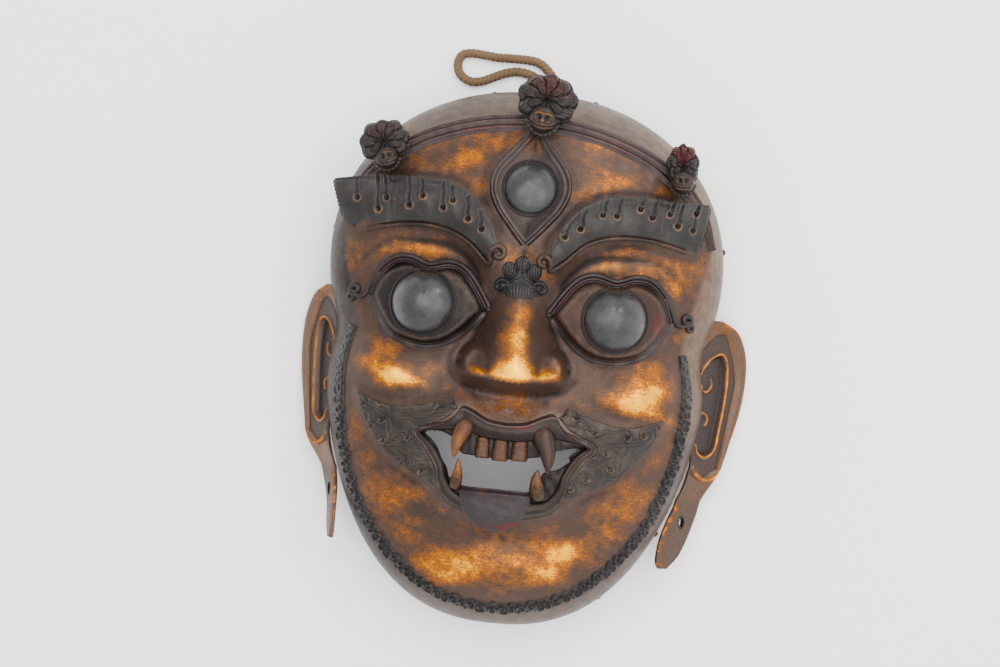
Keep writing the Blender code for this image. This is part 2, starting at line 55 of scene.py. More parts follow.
# ---- number helpers ----
def sstep(a, b, v):
    t = np.clip((np.asarray(v, float) - a) / (b - a), 0.0, 1.0)
    return t * t * (3.0 - 2.0 * t)


def bell(x, y, cx, cy, sx, sy):
    return np.exp(-(((x - cx) / sx) ** 2) - ((y - cy) / sy) ** 2)


def hump(v, centre, width):
    return np.exp(-(((v - centre) / width) ** 2))


def smax(a, b, k):
    h = np.clip(0.5 + 0.5 * (a - b) / k, 0.0, 1.0)
    return b + (a - b) * h + k * h * (1.0 - h)


def spline(points, count, closed=False):
    """Catmull-Rom curve through the points, count samples a span."""
    p = np.asarray(points, float)
    n = len(p)
    out = []
    for i in range(n if closed else n - 1):
        if closed:
            a, b, c, d = p[(i - 1) % n], p[i], p[(i + 1) % n], p[(i + 2) % n]
        else:
            b, c = p[i], p[i + 1]
            a = p[i - 1] if i else 2 * b - c
            d = p[i + 2] if i + 2 < n else 2 * c - b
        for k in range(count):
            t = k / count
            out.append(0.5 * (2 * b + (c - a) * t + (2 * a - 5 * b + 4 * c - d) * t * t + (3 * b - a - 3 * c + d) * t ** 3))
    if not closed:
        out.append(p[-1])
    return np.array(out)


def resample(line, step):
    """The same curve with points an even step apart."""
    line = np.asarray(line, float)
    run = np.concatenate([[0.0], np.cumsum(np.linalg.norm(np.diff(line, axis=0), axis=1))])
    count = max(int(round(run[-1] / step)), 2)
    at = np.linspace(0, run[-1], count + 1)
    return np.stack([np.interp(at, run, line[:, k]) for k in range(line.shape[1])], 1)


def near(x, y, line):
    """Distance to a polyline, how far along it (0 to 1) the nearest place lies, and the side (left positive)."""
    x, y = np.asarray(x, float), np.asarray(y, float)
    best = np.full(x.shape, 1e9)
    along, side = np.zeros(x.shape), np.zeros(x.shape)
    step = np.hypot(*np.diff(line, axis=0).T)
    run = np.concatenate([[0.0], np.cumsum(step)])
    for i in range(len(line) - 1):
        ax, ay = line[i]
        bx, by = line[i + 1] - line[i]
        t = np.clip(((x - ax) * bx + (y - ay) * by) / max(bx * bx + by * by, 1e-9), 0, 1)
        d = np.hypot(x - ax - t * bx, y - ay - t * by)
        closer = d < best
        best = np.where(closer, d, best)
        along = np.where(closer, (run[i] + t * step[i]) / run[-1], along)
        side = np.where(closer, np.sign(bx * (y - ay) - by * (x - ax)), side)
    return best, along, side


def inside(x, y, ring):
    x, y = np.asarray(x, float), np.asarray(y, float)
    hit = np.zeros(x.shape, bool)
    for i in range(len(ring)):
        ax, ay = ring[i]
        bx, by = ring[(i + 1) % len(ring)]
        cross = (ay > y) != (by > y)
        with np.errstate(divide="ignore", invalid="ignore"):
            hit ^= cross & (x < (bx - ax) * (y - ay) / (by - ay) + ax)
    return hit


def depth_in(x, y, ring):
    """Distance to the edge of a closed outline, positive inside it."""
    d = near(x, y, np.vstack([ring, ring[:1]]))[0]
    return np.where(inside(x, y, ring), d, -d)


def waves(x, y, size, seed, octaves=2):
    """Smooth wandering value of about -1 to 1, with blotches of about this size in millimetres."""
    pick = np.random.RandomState(seed)
    total = np.zeros(np.shape(x))
    for o in range(octaves):
        part = np.zeros(np.shape(x))
        for _ in range(7):
            turn, phase, k = pick.uniform(0, 2 * math.pi), pick.uniform(0, 2 * math.pi), pick.uniform(0.7, 1.4) * math.pi / size * 2 ** o
            part = part + np.sin(k * (x * math.cos(turn) + y * math.sin(turn)) + phase)
        total = total + part / 2.6 / 1.7 ** o
    return total


def rgb(r, g, b):
    """A colour given as it looks on screen, 0 to 255, in linear light."""
    c = np.array([r, g, b], float) / 255.0
    return np.where(c <= 0.04045, c / 12.92, ((c + 0.055) / 1.055) ** 2.4)


def blend(a, b, f):
    """Colour a going to colour b by factor f, for whole arrays."""
    f = np.clip(np.asarray(f, float), 0, 1)[..., None]
    return np.asarray(a) * (1 - f) + np.asarray(b) * f


# ---- outline and base form, as in the CAD part ----
def edge_radius(theta):
    theta = np.asarray(theta, float)
    c, s = np.cos(theta), np.sin(theta)
    low, high = np.zeros(theta.shape), np.full(theta.shape, 400.0)
    for _ in range(40):
        r = 0.5 * (low + high)
        x, y = np.abs(r * c) / HALF_WIDTH, r * s - WIDEST_Y
        up = x ** CROWN_EXP + np.clip(y / CROWN, 0, 9) ** CROWN_EXP
        down = x ** JAW_EXP + np.clip(-y / JAW, 0, 9) ** JAW_EXP
        out = np.where(y > 0, up, down) > 1.0
        high, low = np.where(out, r, high), np.where(out, low, r)
    return 0.5 * (low + high)


THETA = np.linspace(-math.pi, math.pi, 1441)
EDGE = edge_radius(THETA)


def pull_in(y, rho):
    return 1.0 - WAIST * np.exp(-(((y - WAIST_Y) / WAIST_LEN) ** 2)) * sstep(0.62, 0.97, rho)


def bulge(theta):
    return 2.2 + 0.7 * np.clip(-np.sin(theta), 0, 1) ** 2


def reach(x, y):
    return np.hypot(x, y) / np.interp(np.arctan2(y, x), THETA, EDGE)


def base_height(x, y):
    rho = np.clip(reach(x, y), 0, 1)
    p = bulge(np.arctan2(y, x))
    return WALL_UP + CAP_RISE * (1.0 - rho ** p) ** (1.0 / p)


LID_UP = spline([(21.5, 31), (33, 48.5), (42, 57.5), (52, 60), (66, 57), (79, 61.5), (90, 60), (100.5, 50), (107.5, 34)], 8)
LID_LOW = spline([(21.5, 31), (35, 15.5), (47, 6), (60, 1.8), (76, 3), (92, 11), (107.5, 34)], 8)
ALMOND = np.vstack([LID_UP, LID_LOW[::-1][1:-1]])
BROW_TOP = [(18, 74), (21, 83), (30, 98), (42, 109), (56, 115.5), (82, 117.5), (108, 117.5)]
BROW_LOW = [(116, 81), (94, 87), (74, 88), (52, 83), (34, 71), (22, 63)]
BROW = np.vstack([spline(BROW_TOP + [(131, 115)], 5), spline([(128, 107)] + BROW_LOW, 5)])
BROW_SPINE = spline([(16.5, 68), (26, 79), (40, 93), (56, 100), (82, 103), (104, 101), (122, 98)], 6)
M_TOP, M_LOW, M_IN = [(40, -31), (60, -38), (84, -41), (109, -33)], [(108, -36), (97, -60), (76, -80), (47, -94)], [(44, -93), (47, -80), (55, -67.5), (62.5, -57.3), (44, -47.5), (34.5, -38.5)]
MOUSTACHE = np.vstack([spline(M_TOP, 5), spline(M_LOW, 5), spline(M_IN, 5)])
MOUTH_KEYS = [(0, -58), (14, -57), (27, -54), (38, -54), (47, -55), (59, -57.5), (49, -66), (41.5, -77), (38, -87), (30, -97), (14, -99), (0, -99)]
LIP_KEYS = [(0, -48.4), (13, -46.8), (25, -41.3), (33, -39.8), (42, -49), (62, -57.5), (55, -67), (46.5, -79), (43.5, -92), (34, -103), (18, -108), (0, -109)]
NOSE_W = np.array([(-16, 34), (-5, 31), (6, 26), (20, 20.5), (42, 15), (60, 10)])
NOSE_FOLD = spline([(15.5, -14), (18, -6), (19.5, 2), (24.5, 7), (31, 6), (37, -1), (39.5, -10)], 6)
MOUTH, LIP = spline(MOUTH_KEYS, 10), spline(LIP_KEYS, 10)
MOUTH_RING = np.vstack([MOUTH, (MOUTH * (-1, 1))[::-1][1:-1]])
TRIM = spline([(117, 12), (122.5, -16), (121.5, -45), (115, -78), (101, -113), (77, -144.5), (48, -166), (18, -175.5), (0, -177)], 10)
BAND = spline([(0, 165.5), (28, 163), (53, 157.5), (80, 147), (103, 131.5), (121, 111.5), (131, 88)], 8)
DROP = spline([(0, 161), (10.5, 146), (22.5, 130), (25.2, 117), (20.5, 104), (10.5, 91), (0, 79)], 8)
DROP_RING = np.vstack([DROP, (DROP * (-1, 1))[::-1][1:-1]])
CREASE = spline([(26, 44), (34, 60), (50, 72), (74, 75), (96, 73), (112, 60), (119, 44)], 6)
FOLD = spline([(43, -6), (52, -22), (62, -32), (84, -35), (112, -27)], 6)


def relief(x, y):
    """Height of the modelling above the base form; a mirror image about x = 0."""
    a = np.abs(x)
    h = np.zeros(np.shape(x))
    h -= 8.0 * np.exp(-((((a - 66) / 52) ** 2 + ((y - 32) / 40) ** 2) ** 2))
    ball = 1.0 - ((a - 66) / 45) ** 2 - ((y - 30) / 32) ** 2
    h += 17.0 * np.sqrt(np.clip(ball, 0, 1)) * sstep(-2.0, 5.5, depth_in(a, y, ALMOND)) * sstep(0.0, 0.2, ball)
    d, along, _ = near(a, y, BROW_SPINE)
    h += 9.0 * np.exp(-((d / 15) ** 2)) * sstep(1.0, 0.72, along)
    h += 3.0 * sstep(-6, 5, depth_in(a, y, BROW))
    h += 5.0 * bell(x, y, 0, 116, 44, 52)
    rise = 4.0 + 43.0 * np.clip((56 - y) / 70, 0, 1) ** 1.1
    q = a / np.interp(y, NOSE_W[:, 0], NOSE_W[:, 1])
    body = rise * (1.28 - np.sqrt(q * q + 0.12)) * sstep(66, 48, y)
    wing = 15.5 * np.sqrt(np.clip(1 - ((a - 27) / 10.0) ** 2 - ((y + 4) / 12) ** 2, 0, 1))
    foot = -15.5 + 4.0 * (x / 36) ** 2
    nose = smax(smax(body, wing, 4.0), 0.0, 3.0)
    nose = np.where(nose > 32, 32 + 9 * (1 - np.exp(-np.maximum(nose - 32, 0) / 9)), nose)
    d, along, _ = near(a, y, NOSE_FOLD)
    nose = nose - 2.2 * np.exp(-((d / 2.6) ** 2)) * sstep(0, 0.15, along) * sstep(1.0, 0.8, along) + 1.0 * hump(y, foot + 2.5, 2.0) * sstep(40, 30, a)
    nose = nose * sstep(-12.0, 0.5, y - foot)
    muzzle = 13.0 * np.exp(-((((x / 60) ** 2 + ((y + 74) / 50) ** 2)) ** 2))
    h += np.maximum(nose, 0) + muzzle + 12.0 * bell(a, y, 88, -18, 27, 24) + 10.0 * bell(x, y, 0, -153, 46, 24)
    h += 3.0 * sstep(-6, 5, depth_in(a, y, MOUSTACHE))
    h += 4.5 * np.exp(-((near(a, y, LIP)[0] / 8.0) ** 2))
    h += 3.5 * np.exp(-((near(a, y, DROP)[0] / 5.5) ** 2))
    h += 3.0 * np.exp(-((near(a, y, BAND)[0] / 9.0) ** 2)) * sstep(0, 30, base_height(x, y) - WALL_UP)
    # finer chasing that the faceted part leaves out
    d, along, _ = near(a, y, CREASE)
    h -= 1.3 * np.exp(-((d / 3.0) ** 2)) * sstep(0, 0.1, along) * sstep(1, 0.85, along)
    d, along, _ = near(a, y, FOLD)
    h -= 0.9 * np.exp(-((d / 5.0) ** 2)) * sstep(0, 0.15, along) * sstep(1, 0.8, along)
    ring = np.hypot((a - 27) / 17.5, (y + 7) / 16.5)
    h -= 0.7 * np.exp(-(((ring - 1.08) / 0.16) ** 2)) * sstep(24, 32, a) * sstep(-22, -12, y)
    h -= 0.6 * np.exp(-((x / 6.0) ** 2)) * sstep(-46, -40, y) * sstep(-28, -34, y)
    h -= 1.2 * bell(x, y, 0, -124, 30, 9)
    return h


STEP = 0.5
LAT_A, LAT_Y = np.arange(0, 160, STEP), np.arange(-208, 208, STEP)
GRID_A, GRID_Y = np.meshgrid(LAT_A, LAT_Y, indexing="ij")
RELIEF = relief(GRID_A, GRID_Y)


def lookup(lattice, a, y):
    i = np.clip((np.abs(a) - LAT_A[0]) / STEP, 0, len(LAT_A) - 1.001)
    j = np.clip((np.asarray(y, float) - LAT_Y[0]) / STEP, 0, len(LAT_Y) - 1.001)
    i0, j0 = i.astype(int), j.astype(int)
    u, v = i - i0, j - j0
    return (lattice[i0, j0] * (1 - u) * (1 - v) + lattice[i0 + 1, j0] * u * (1 - v)
            + lattice[i0, j0 + 1] * (1 - u) * v + lattice[i0 + 1, j0 + 1] * u * v)


def hammer(x, y):
    """Shallow hammer dents in the sheet."""
    return 0.16 * waves(x, y, 13.0, 5) + 0.07 * waves(x, y, 5.0, 6, 1)


def unwaisted(x, y):
    x0 = np.asarray(x, float)
    for _ in range(4):
        x0 = x / pull_in(y, np.clip(reach(x0, y), 0, 1))
    return x0


def skin_z(x, y):
    x0 = unwaisted(x, y)
    rho = reach(x0, y)
    return base_height(x0, y) + (lookup(RELIEF, x0, y) + hammer(x0, y)) * sstep(1.0, 0.93, rho)


def on_skin(x, y, h):
    """Points h millimetres out from the skin, square to it."""
    x, y = np.asarray(x, float), np.asarray(y, float)
    e = 0.6
    z = skin_z(x, y)
    gx = (skin_z(x + e, y) - skin_z(x - e, y)) / (2 * e)
    gy = (skin_z(x, y + e) - skin_z(x, y - e)) / (2 * e)
    n = np.stack([-gx, -gy, np.ones_like(gx)], -1)
    n /= np.linalg.norm(n, axis=-1, keepdims=True)
    return np.stack([x, y, z], -1) + n * np.asarray(h)[..., None]


# ---- collecting meshes ----
def grid_normals(p):
    du = np.gradient(p, axis=0)
    dv = np.gradient(p, axis=1)
    n = np.cross(du, dv)
    return n / np.maximum(np.linalg.norm(n, axis=-1, keepdims=True), 1e-9)


def smooth_grid(p, passes):
    for _ in range(passes):
        q = np.pad(p, ((1, 1), (1, 1)) + ((0, 0),) * (p.ndim - 2), mode="edge")
        p = (q[1:-1, 1:-1] * 2 + q[:-2, 1:-1] + q[2:, 1:-1] + q[1:-1, :-2] + q[1:-1, 2:]) / 6
    return p


class Bag:
    """Gathers grids of points with their colours, then makes one object of them."""

    def __init__(self):
        self.v, self.f, self.tint, self.gild, self.red, self.cav = [], [], [], [], [], []
        self.count = 0

    def add(self, p, tint, gild=0.0, red=0.0, keep=None, wrap=False, flip=False, cavity=0.25, blur=4, cav=None, extra=0.0):
        """p is a grid of points (rows, columns, 3); wrap joins the last column to the first."""
        p = np.asarray(p, float)
        nu, nv = p.shape[:2]
        n = grid_normals(p)
        if flip:
            n = -n
        # cav: above 0 in hollows, below 0 on crests; the materials paint shade into hollows from it, and extra adds
        # more painted shade
        if cav is None:
            cav = np.clip(((smooth_grid(p, blur) - p) * n).sum(-1) / cavity, -1, 1)
        full = lambda v: np.broadcast_to(np.asarray(v, float), (nu, nv)).reshape(-1)
        idx = np.arange(nu * nv).reshape(nu, nv)
        a, b, c, d = idx[:-1, :-1], idx[1:, :-1], idx[1:, 1:], idx[:-1, 1:]
        faces = np.stack([a, b, c, d], -1).reshape(-1, 4)
        if wrap:
            a, b, c, d = idx[:-1, -1], idx[1:, -1], idx[1:, 0], idx[:-1, 0]
            faces = np.vstack([faces, np.stack([a, b, c, d], -1)])
        if keep is not None:
            ok = np.asarray(keep).reshape(-1)
            faces = faces[ok[faces].any(1)]
        if flip:
            faces = faces[:, ::-1]
        used = np.zeros(nu * nv, bool)
        used[faces.reshape(-1)] = True
        where = np.cumsum(used) - 1
        self.v.append(p.reshape(-1, 3)[used])
        self.f.append(where[faces] + self.count)
        tint = np.broadcast_to(np.asarray(tint, float), (nu, nv, 3)).reshape(-1, 3)
        self.tint.append(tint[used])
        self.gild.append(full(gild)[used])
        self.red.append(full(red)[used])
        self.cav.append(np.clip(full(cav) + full(extra), -1.5, 1.5)[used])
        self.count += int(used.sum())

    def make(self, name, material):
        v = np.vstack(self.v)
        f = np.vstack(self.f)
        co = np.stack([v[:, 0] + SHIFT_X, v[:, 1] + SHIFT_Y, np.maximum(v[:, 2], 0.0)], 1) * 0.001
        mesh = bpy.data.meshes.new(name)
        mesh.vertices.add(len(co))
        mesh.vertices.foreach_set("co", co.ravel())
        mesh.loops.add(len(f) * 4)
        mesh.loops.foreach_set("vertex_index", f.ravel().astype(np.int32))
        mesh.polygons.add(len(f))
        mesh.polygons.foreach_set("loop_start", np.arange(0, len(f) * 4, 4, dtype=np.int32))
        mesh.polygons.foreach_set("use_smooth", np.ones(len(f), bool))
        mesh.update(calc_edges=True)
        mesh.validate()
        for label, values in (("gild", self.gild), ("paint", self.red), ("cav", self.cav)):
            layer = mesh.attributes.new(label, "FLOAT", "POINT")
            layer.data.foreach_set("value", np.concatenate(values).astype(np.float32))
        layer = mesh.attributes.new("tint", "FLOAT_COLOR", "POINT")
        colour = np.concatenate([np.vstack(self.tint), np.ones((len(co), 1))], 1)
        layer.data.foreach_set("color", colour.astype(np.float32).ravel())
        mesh.materials.append(material)
        obj = bpy.data.objects.new(name, mesh)
        bpy.context.scene.collection.objects.link(obj)
        return obj


def tube(path, radius, sides=10, flat=1.0, lift=None):
    """Grid of points round a 3D path; radius may vary along it."""
    path = np.asarray(path, float)
    radius = np.broadcast_to(np.asarray(radius, float), (len(path),))
    t = np.gradient(path, axis=0)
    t /= np.maximum(np.linalg.norm(t, axis=1, keepdims=True), 1e-9)
    up = np.array([0, 0, 1.0])
    side = np.cross(t, up)
    side /= np.maximum(np.linalg.norm(side, axis=1, keepdims=True), 1e-9)
    top = np.cross(side, t)
    ang = np.linspace(0, 2 * math.pi, sides, endpoint=False)
    return (path[:, None, :] + radius[:, None, None] * (np.cos(ang)[None, :, None] * side[:, None, :]
                                                        + flat * np.sin(ang)[None, :, None] * top[:, None, :]))


def closed_ends(radius, cells=4):
    """Tapers a radius to nearly nothing at both ends so that a tube closes."""
    n = len(radius)
    i = np.arange(n)
    e = np.minimum(i, n - 1 - i) / cells
    return radius * np.sqrt(np.clip(1 - (1 - np.clip(e, 0, 1)) ** 2, 0.0004, 1))


def blob(centre, radii, turn=None, nu=20, nv=28):
    """Grid of points over an ellipsoid."""
    lat = np.linspace(0.02, math.pi - 0.02, nu)[:, None]
    lon = np.linspace(0, 2 * math.pi, nv, endpoint=False)[None, :]
    p = np.stack([np.sin(lat) * np.cos(lon) * radii[0], np.sin(lat) * np.sin(lon) * radii[1], np.cos(lat) * radii[2] * np.ones_like(lon)], -1)
    if turn is not None:
        p = p @ np.array(Matrix.Rotation(turn, 3, "Z")).T
    return p + np.asarray(centre, float)


def offset_line(line, amount):
    d = np.gradient(line, axis=0)
    d /= np.maximum(np.linalg.norm(d, axis=1, keepdims=True), 1e-9)
    return line + amount * np.stack([-d[:, 1], d[:, 0]], 1)


def ribbon(line, half, columns, step=0.6):
    """Strip along a curve of the right half: (a, y, s in mm, t from -1 to 1)."""
    line = resample(line, step)
    s = np.linspace(0, np.linalg.norm(np.diff(line, axis=0), axis=1).sum(), len(line))
    half = np.broadcast_to(np.asarray(half(s) if callable(half) else half, float), s.shape)
    d = np.gradient(line, axis=0)
    d /= np.maximum(np.linalg.norm(d, axis=1, keepdims=True), 1e-9)
    nrm = np.stack([-d[:, 1], d[:, 0]], 1)
    t = np.linspace(-1, 1, columns)
    q = line[:, None, :] + nrm[:, None, :] * (half[:, None, None] * t[None, :, None])
    return np.maximum(q[..., 0], 0.0), q[..., 1], np.broadcast_to(s[:, None], q.shape[:2]), np.broadcast_to(t[None, :], q.shape[:2])


def dive(t, soft=0.22, deep=1.3):
    """Takes the edges of a strip below the skin."""
    return -deep * (1 - sstep(0, soft, 1 - np.abs(t)))


def spiral_line(cx, cy, r0, r1, start, turns, count=60):
    """Curl of falling radius round a centre."""
    k = np.linspace(0, 1, count)
    ang = start + turns * 2 * math.pi * k
    r = r0 + (r1 - r0) * k
    return np.stack([cx + r * np.cos(ang), cy + r * np.sin(ang)], 1)


# ---- palette ----
BROWN = rgb(66, 50, 42)
DARK_BROWN = rgb(42, 36, 34)
TAUPE = rgb(82, 70, 62)
CHARCOAL = rgb(36, 36, 36)
GREEN_GREY = rgb(44, 45, 43)
BLUE_BLACK = rgb(28, 31, 36)
COPPER = rgb(90, 60, 44)
PURPLE = rgb(38, 29, 31)


# ---- materials ----
class Shade:
    """A small writer of shader nodes."""

    def __init__(self, name):
        self.m = bpy.data.materials.new(name)
        self.m.use_nodes = True
        self.t = self.m.node_tree
        self.out = self.t.nodes["Principled BSDF"]
        self.where = self.t.nodes.new("ShaderNodeTexCoord").outputs["Object"]

    def put(self, socket, value):
        if isinstance(value, bpy.types.NodeSocket):
            self.t.links.new(value, socket)
        elif hasattr(value, "__len__") and len(value) == 3 and socket.type == "RGBA":
            socket.default_value = (*[float(c) for c in value], 1.0)
        else:
            socket.default_value = value

    def attr(self, name, colour=False):
        n = self.t.nodes.new("ShaderNodeAttribute")
        n.attribute_name = name
        return n.outputs["Color" if colour else "Fac"]

    def noise(self, size, detail=3.0, rough=0.55, shift=0.0, stretch=(1, 1, 1)):
        """Noise with blotches of about size millimetres, spread to fill 0 to 1."""
        m = self.t.nodes.new("ShaderNodeMapping")
        self.put(m.inputs["Vector"], self.where)
        m.inputs["Location"].default_value = (shift, shift * 0.7, shift * 1.3)
        m.inputs["Scale"].default_value = stretch
        n = self.t.nodes.new("ShaderNodeTexNoise")
        self.put(n.inputs["Vector"], m.outputs["Vector"])
        n.inputs["Scale"].default_value = 1000.0 / size / 1.6
        n.inputs["Detail"].default_value = detail
        n.inputs["Roughness"].default_value = rough
        return self.span(n.outputs["Fac"], 0.28, 0.72)

    def span(self, v, lo, hi, a=0.0, b=1.0, smooth=True):
        n = self.t.nodes.new("ShaderNodeMapRange")
        n.interpolation_type = "SMOOTHSTEP" if smooth else "LINEAR"
        for socket, value in zip(n.inputs[:5], (v, lo, hi, a, b)):
            self.put(socket, value)
        return n.outputs["Result"]

    def calc(self, op, a, b=0.0, c=None, clamp=False):
        n = self.t.nodes.new("ShaderNodeMath")
        n.operation = op
        n.use_clamp = clamp
        self.put(n.inputs[0], a)
        self.put(n.inputs[1], b)
        if c is not None:
            self.put(n.inputs[2], c)
        return n.outputs[0]

    def mix(self, f, a, b, mode="MIX"):
        n = self.t.nodes.new("ShaderNodeMix")
        n.data_type = "RGBA"
        n.blend_type = mode
        self.put(n.inputs[0], f)
        self.put(n.inputs[6], a)
        self.put(n.inputs[7], b)
        return n.outputs[2]

    def mixf(self, f, a, b):
        n = self.t.nodes.new("ShaderNodeMix")
        self.put(n.inputs[0], f)
        self.put(n.inputs[2], a)
        self.put(n.inputs[3], b)
        return n.outputs[0]

    def finish(self, colour, rough, metal, height=None, strength=0.3, distance=0.0004, gloss=0.5, edge=(1.0, 1.0, 1.0)):
        self.put(self.out.inputs["Base Color"], colour)
        self.put(self.out.inputs["Specular IOR Level"], gloss)
        self.put(self.out.inputs["Specular Tint"], edge)
        self.put(self.out.inputs["Roughness"], rough)
        self.put(self.out.inputs["Metallic"], metal)
        if height is not None:
            n = self.t.nodes.new("ShaderNodeBump")
            n.inputs["Strength"].default_value = strength
            n.inputs["Distance"].default_value = distance
            self.put(n.inputs["Height"], height)
            self.put(self.out.inputs["Normal"], n.outputs["Normal"])
        return self.m


def patina(name, metal_dark=0.45, metal_gold=0.88, rough_dark=0.42, rough_gold=0.36, streak=(1, 1, 1), shine=1.0, shift=0.0):
    """Old copper: the tint attribute under gilding worn to a fine stipple, darkened in hollows by painted shade
    together with the dark patina that lies there, and rubbed bright on crests.
    """
    s = Shade(name)
    tint, gild, red, cav = s.attr("tint", True), s.attr("gild"), s.attr("paint"), s.attr("cav")
    broad = s.noise(18, 3, 0.6, shift)
    mid = s.noise(3.2, 5, 0.75, shift + 3)
    fine = s.noise(0.9, 3, 0.65, shift + 7, streak)
    brushed = s.noise(1.5, 3, 0.65, shift + 13, (0.4, 1.8, 1.0))
    grain = s.calc("ADD", s.calc("ADD", s.calc("MULTIPLY", mid, 0.30), s.calc("MULTIPLY", fine, 0.38)), s.calc("MULTIPLY", brushed, 0.32))
    level = s.calc("ADD", gild, s.calc("MULTIPLY", s.calc("SUBTRACT", grain, 0.5), 0.80))
    under = s.mix(s.calc("MULTIPLY", fine, 0.5), tint, s.mix(1.0, tint, rgb(160, 148, 140), "MULTIPLY"))
    under = s.mix(s.calc("MULTIPLY", broad, 0.25), under, s.mix(0.35, under, rgb(60, 52, 49)))
    colour = s.mix(s.span(level, 0.12, 0.48), under, rgb(92, 57, 31))
    colour = s.mix(s.span(level, 0.44, 0.82), colour, rgb(156, 86, 14))
    colour = s.mix(s.span(level, 0.78, 1.10), colour, rgb(236, 156, 0))
    # top level: a hot pale gold, painted highlight on the brightest spots of cheeks, nose and chin
    colour = s.mix(s.span(level, 1.12, 1.50), colour, rgb(255, 196, 30))
    colour = s.mix(s.calc("MULTIPLY", s.span(red, 0.05, 0.6), s.span(grain, 0.25, 0.6)), colour, rgb(84, 12, 20))
    # hollow: painted shade in hollows from the cav attribute, standing also for the dark patina there
    hollow = s.span(cav, 0.05, 0.9)
    crest = s.calc("MULTIPLY", s.span(cav, -0.08, -0.8), s.span(mid, 0.1, 0.7, 0.35, 1.0))
    colour = s.mix(s.calc("MULTIPLY", hollow, 0.8), colour, rgb(18, 15, 15))
    bright = s.mix(s.span(gild, 0.0, 0.5), s.mix(0.25, tint, rgb(128, 108, 94)), rgb(180, 112, 30))
    colour = s.mix(s.calc("MULTIPLY", crest, 0.5 * shine), colour, bright)
    gilt = s.span(level, 0.35, 0.95)
    rough = s.calc("ADD", s.mixf(gilt, rough_dark, rough_gold), s.calc("MULTIPLY", s.calc("SUBTRACT", mid, 0.5), 0.16))
    metal = s.mixf(gilt, metal_dark, metal_gold)
    height = s.calc("ADD", s.calc("MULTIPLY", fine, 0.4), mid)
    return s.finish(colour, rough, metal, height, 0.24, 0.0003, 0.38, (0.62, 0.585, 0.56))



SKIN = patina("worn_gilding")
CHASED = patina("dark_chasing", 0.35, 0.75, 0.40, 0.38, shift=11.0)
TRIM_METAL = patina("glinting_trim", 0.45, 0.6, 0.30, 0.30, shine=0.35, shift=17.0)
HORN = patina("tooth_copper", 0.4, 0.7, 0.34, 0.30, shift=23.0)
INNER = patina("bare_inside", 0.5, 0.6, 0.55, 0.5, shift=31.0)


# ---- camera and rope first ----
def camera():
    data = bpy.data.cameras.new("front_view")
    cam = bpy.data.objects.new("front_view", data)
    bpy.context.scene.collection.objects.link(cam)
    yaw, roll, pitch = math.radians(2.2), math.radians(5.5), 0.0
    back = Vector((math.sin(yaw) * math.cos(pitch), math.sin(pitch), math.cos(yaw) * math.cos(pitch)))
    up0 = Vector((-math.sin(roll), math.cos(roll), 0.0))
    right = up0.cross(back).normalized()
    up = back.cross(right)
    focal, far = 2488.7, 1800.0
    dx, dy = 17.6 / focal, -23.1 / focal
    place = Vector((0, 0, 30.0)) + back * far - right * dx * far - up * dy * far
    m = Matrix((right, up, back)).transposed().to_4x4()
    m.translation = Vector(((place.x + SHIFT_X), (place.y + SHIFT_Y), place.z)) * 0.001
    cam.matrix_world = m
    data.sensor_width = 36.0
    data.lens = focal * 36.0 / 1000.0
    data.clip_start, data.clip_end = 0.05, 20.0
    bpy.context.scene.camera = cam
    return cam


camera()

LOOP = spline([(11.0, 197.5), (6.5, 204.5), (1, 211), (-7, 216.2), (-20, 217.2), (-37, 217), (-52, 218.4), (-61.5, 217), (-65, 210.5), (-62.5, 202.2),
               (-54, 197.6), (-44, 199.5), (-33, 204.6), (-21, 207.8), (-9, 205.6), (-2.5, 200.5), (0.5, 197.0)], 2)


def rope():
    count = len(LOOP)
    i = np.arange(count)
    rise = 5.0 * (sstep(3, 0, i) + sstep(count - 4, count - 1, i))
    line = np.concatenate([LOOP, (CORD_R + 0.05 + rise)[:, None]], 1)
    length = float(np.linalg.norm(np.diff(line, axis=0), axis=1).sum())
    fine = resample(spline(line, 6), 0.7)
    t = np.gradient(fine, axis=0)
    t /= np.linalg.norm(t, axis=1, keepdims=True)
    side = np.cross(t, (0, 0, 1.0))
    side /= np.linalg.norm(side, axis=1, keepdims=True)
    top = np.cross(side, t)
    run = np.linspace(0, length, len(fine))
    ang = np.linspace(0, 2 * math.pi, 36, endpoint=False)
    twist = 1.5 * ang[None, :] - math.pi * run[:, None] / 3.4
    strand = np.abs(np.cos(twist)) ** 0.7
    fibre = 0.5 + 0.5 * np.sin(26 * ang[None, :] + run[:, None] * 3.1 + 2 * np.cos(twist))
    r = CORD_R * (0.76 + 0.21 * strand + 0.03 * fibre)
    cap = np.sqrt(np.clip(1 - (1 - np.clip(np.minimum(np.arange(len(fine)), len(fine) - 1 - np.arange(len(fine))) / 3, 0, 1)) ** 2, 0.001, 1))
    p = fine[:, None, :] + (r * cap[:, None])[..., None] * (np.cos(ang)[None, :, None] * side[:, None, :] + np.sin(ang)[None, :, None] * top[:, None, :])
    p[..., 2] = np.maximum(p[..., 2], 0.06)
    bag = Bag()
    # cav: painted shade in the grooves between the twisted strands
    bag.add(p, rgb(84, 62, 38), wrap=True, flip=True, cav=0.9 - 1.5 * strand - 0.3 * fibre)
    s = Shade("straw_rope")
    tint, cav = s.attr("tint", True), s.attr("cav")
    fine_n, broad = s.noise(0.7, 4, 0.7), s.noise(9, 2, 0.5)
    colour = s.mix(s.calc("MULTIPLY", fine_n, 0.6), tint, rgb(112, 88, 54))
    colour = s.mix(s.calc("MULTIPLY", broad, 0.5), colour, rgb(66, 46, 26))
    # painted shade between the strands
    colour = s.mix(s.calc("MULTIPLY", s.span(cav, -0.2, 0.8), 0.85), colour, rgb(38, 26, 16))
    mat = s.finish(colour, s.span(fine_n, 0, 1, 0.72, 0.92), 0.0, fine_n, 0.5, 0.0003)
    obj = bag.make("rope_loop", mat)
    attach(obj, "root")
    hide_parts("hanging_cord")
    return obj


rope()


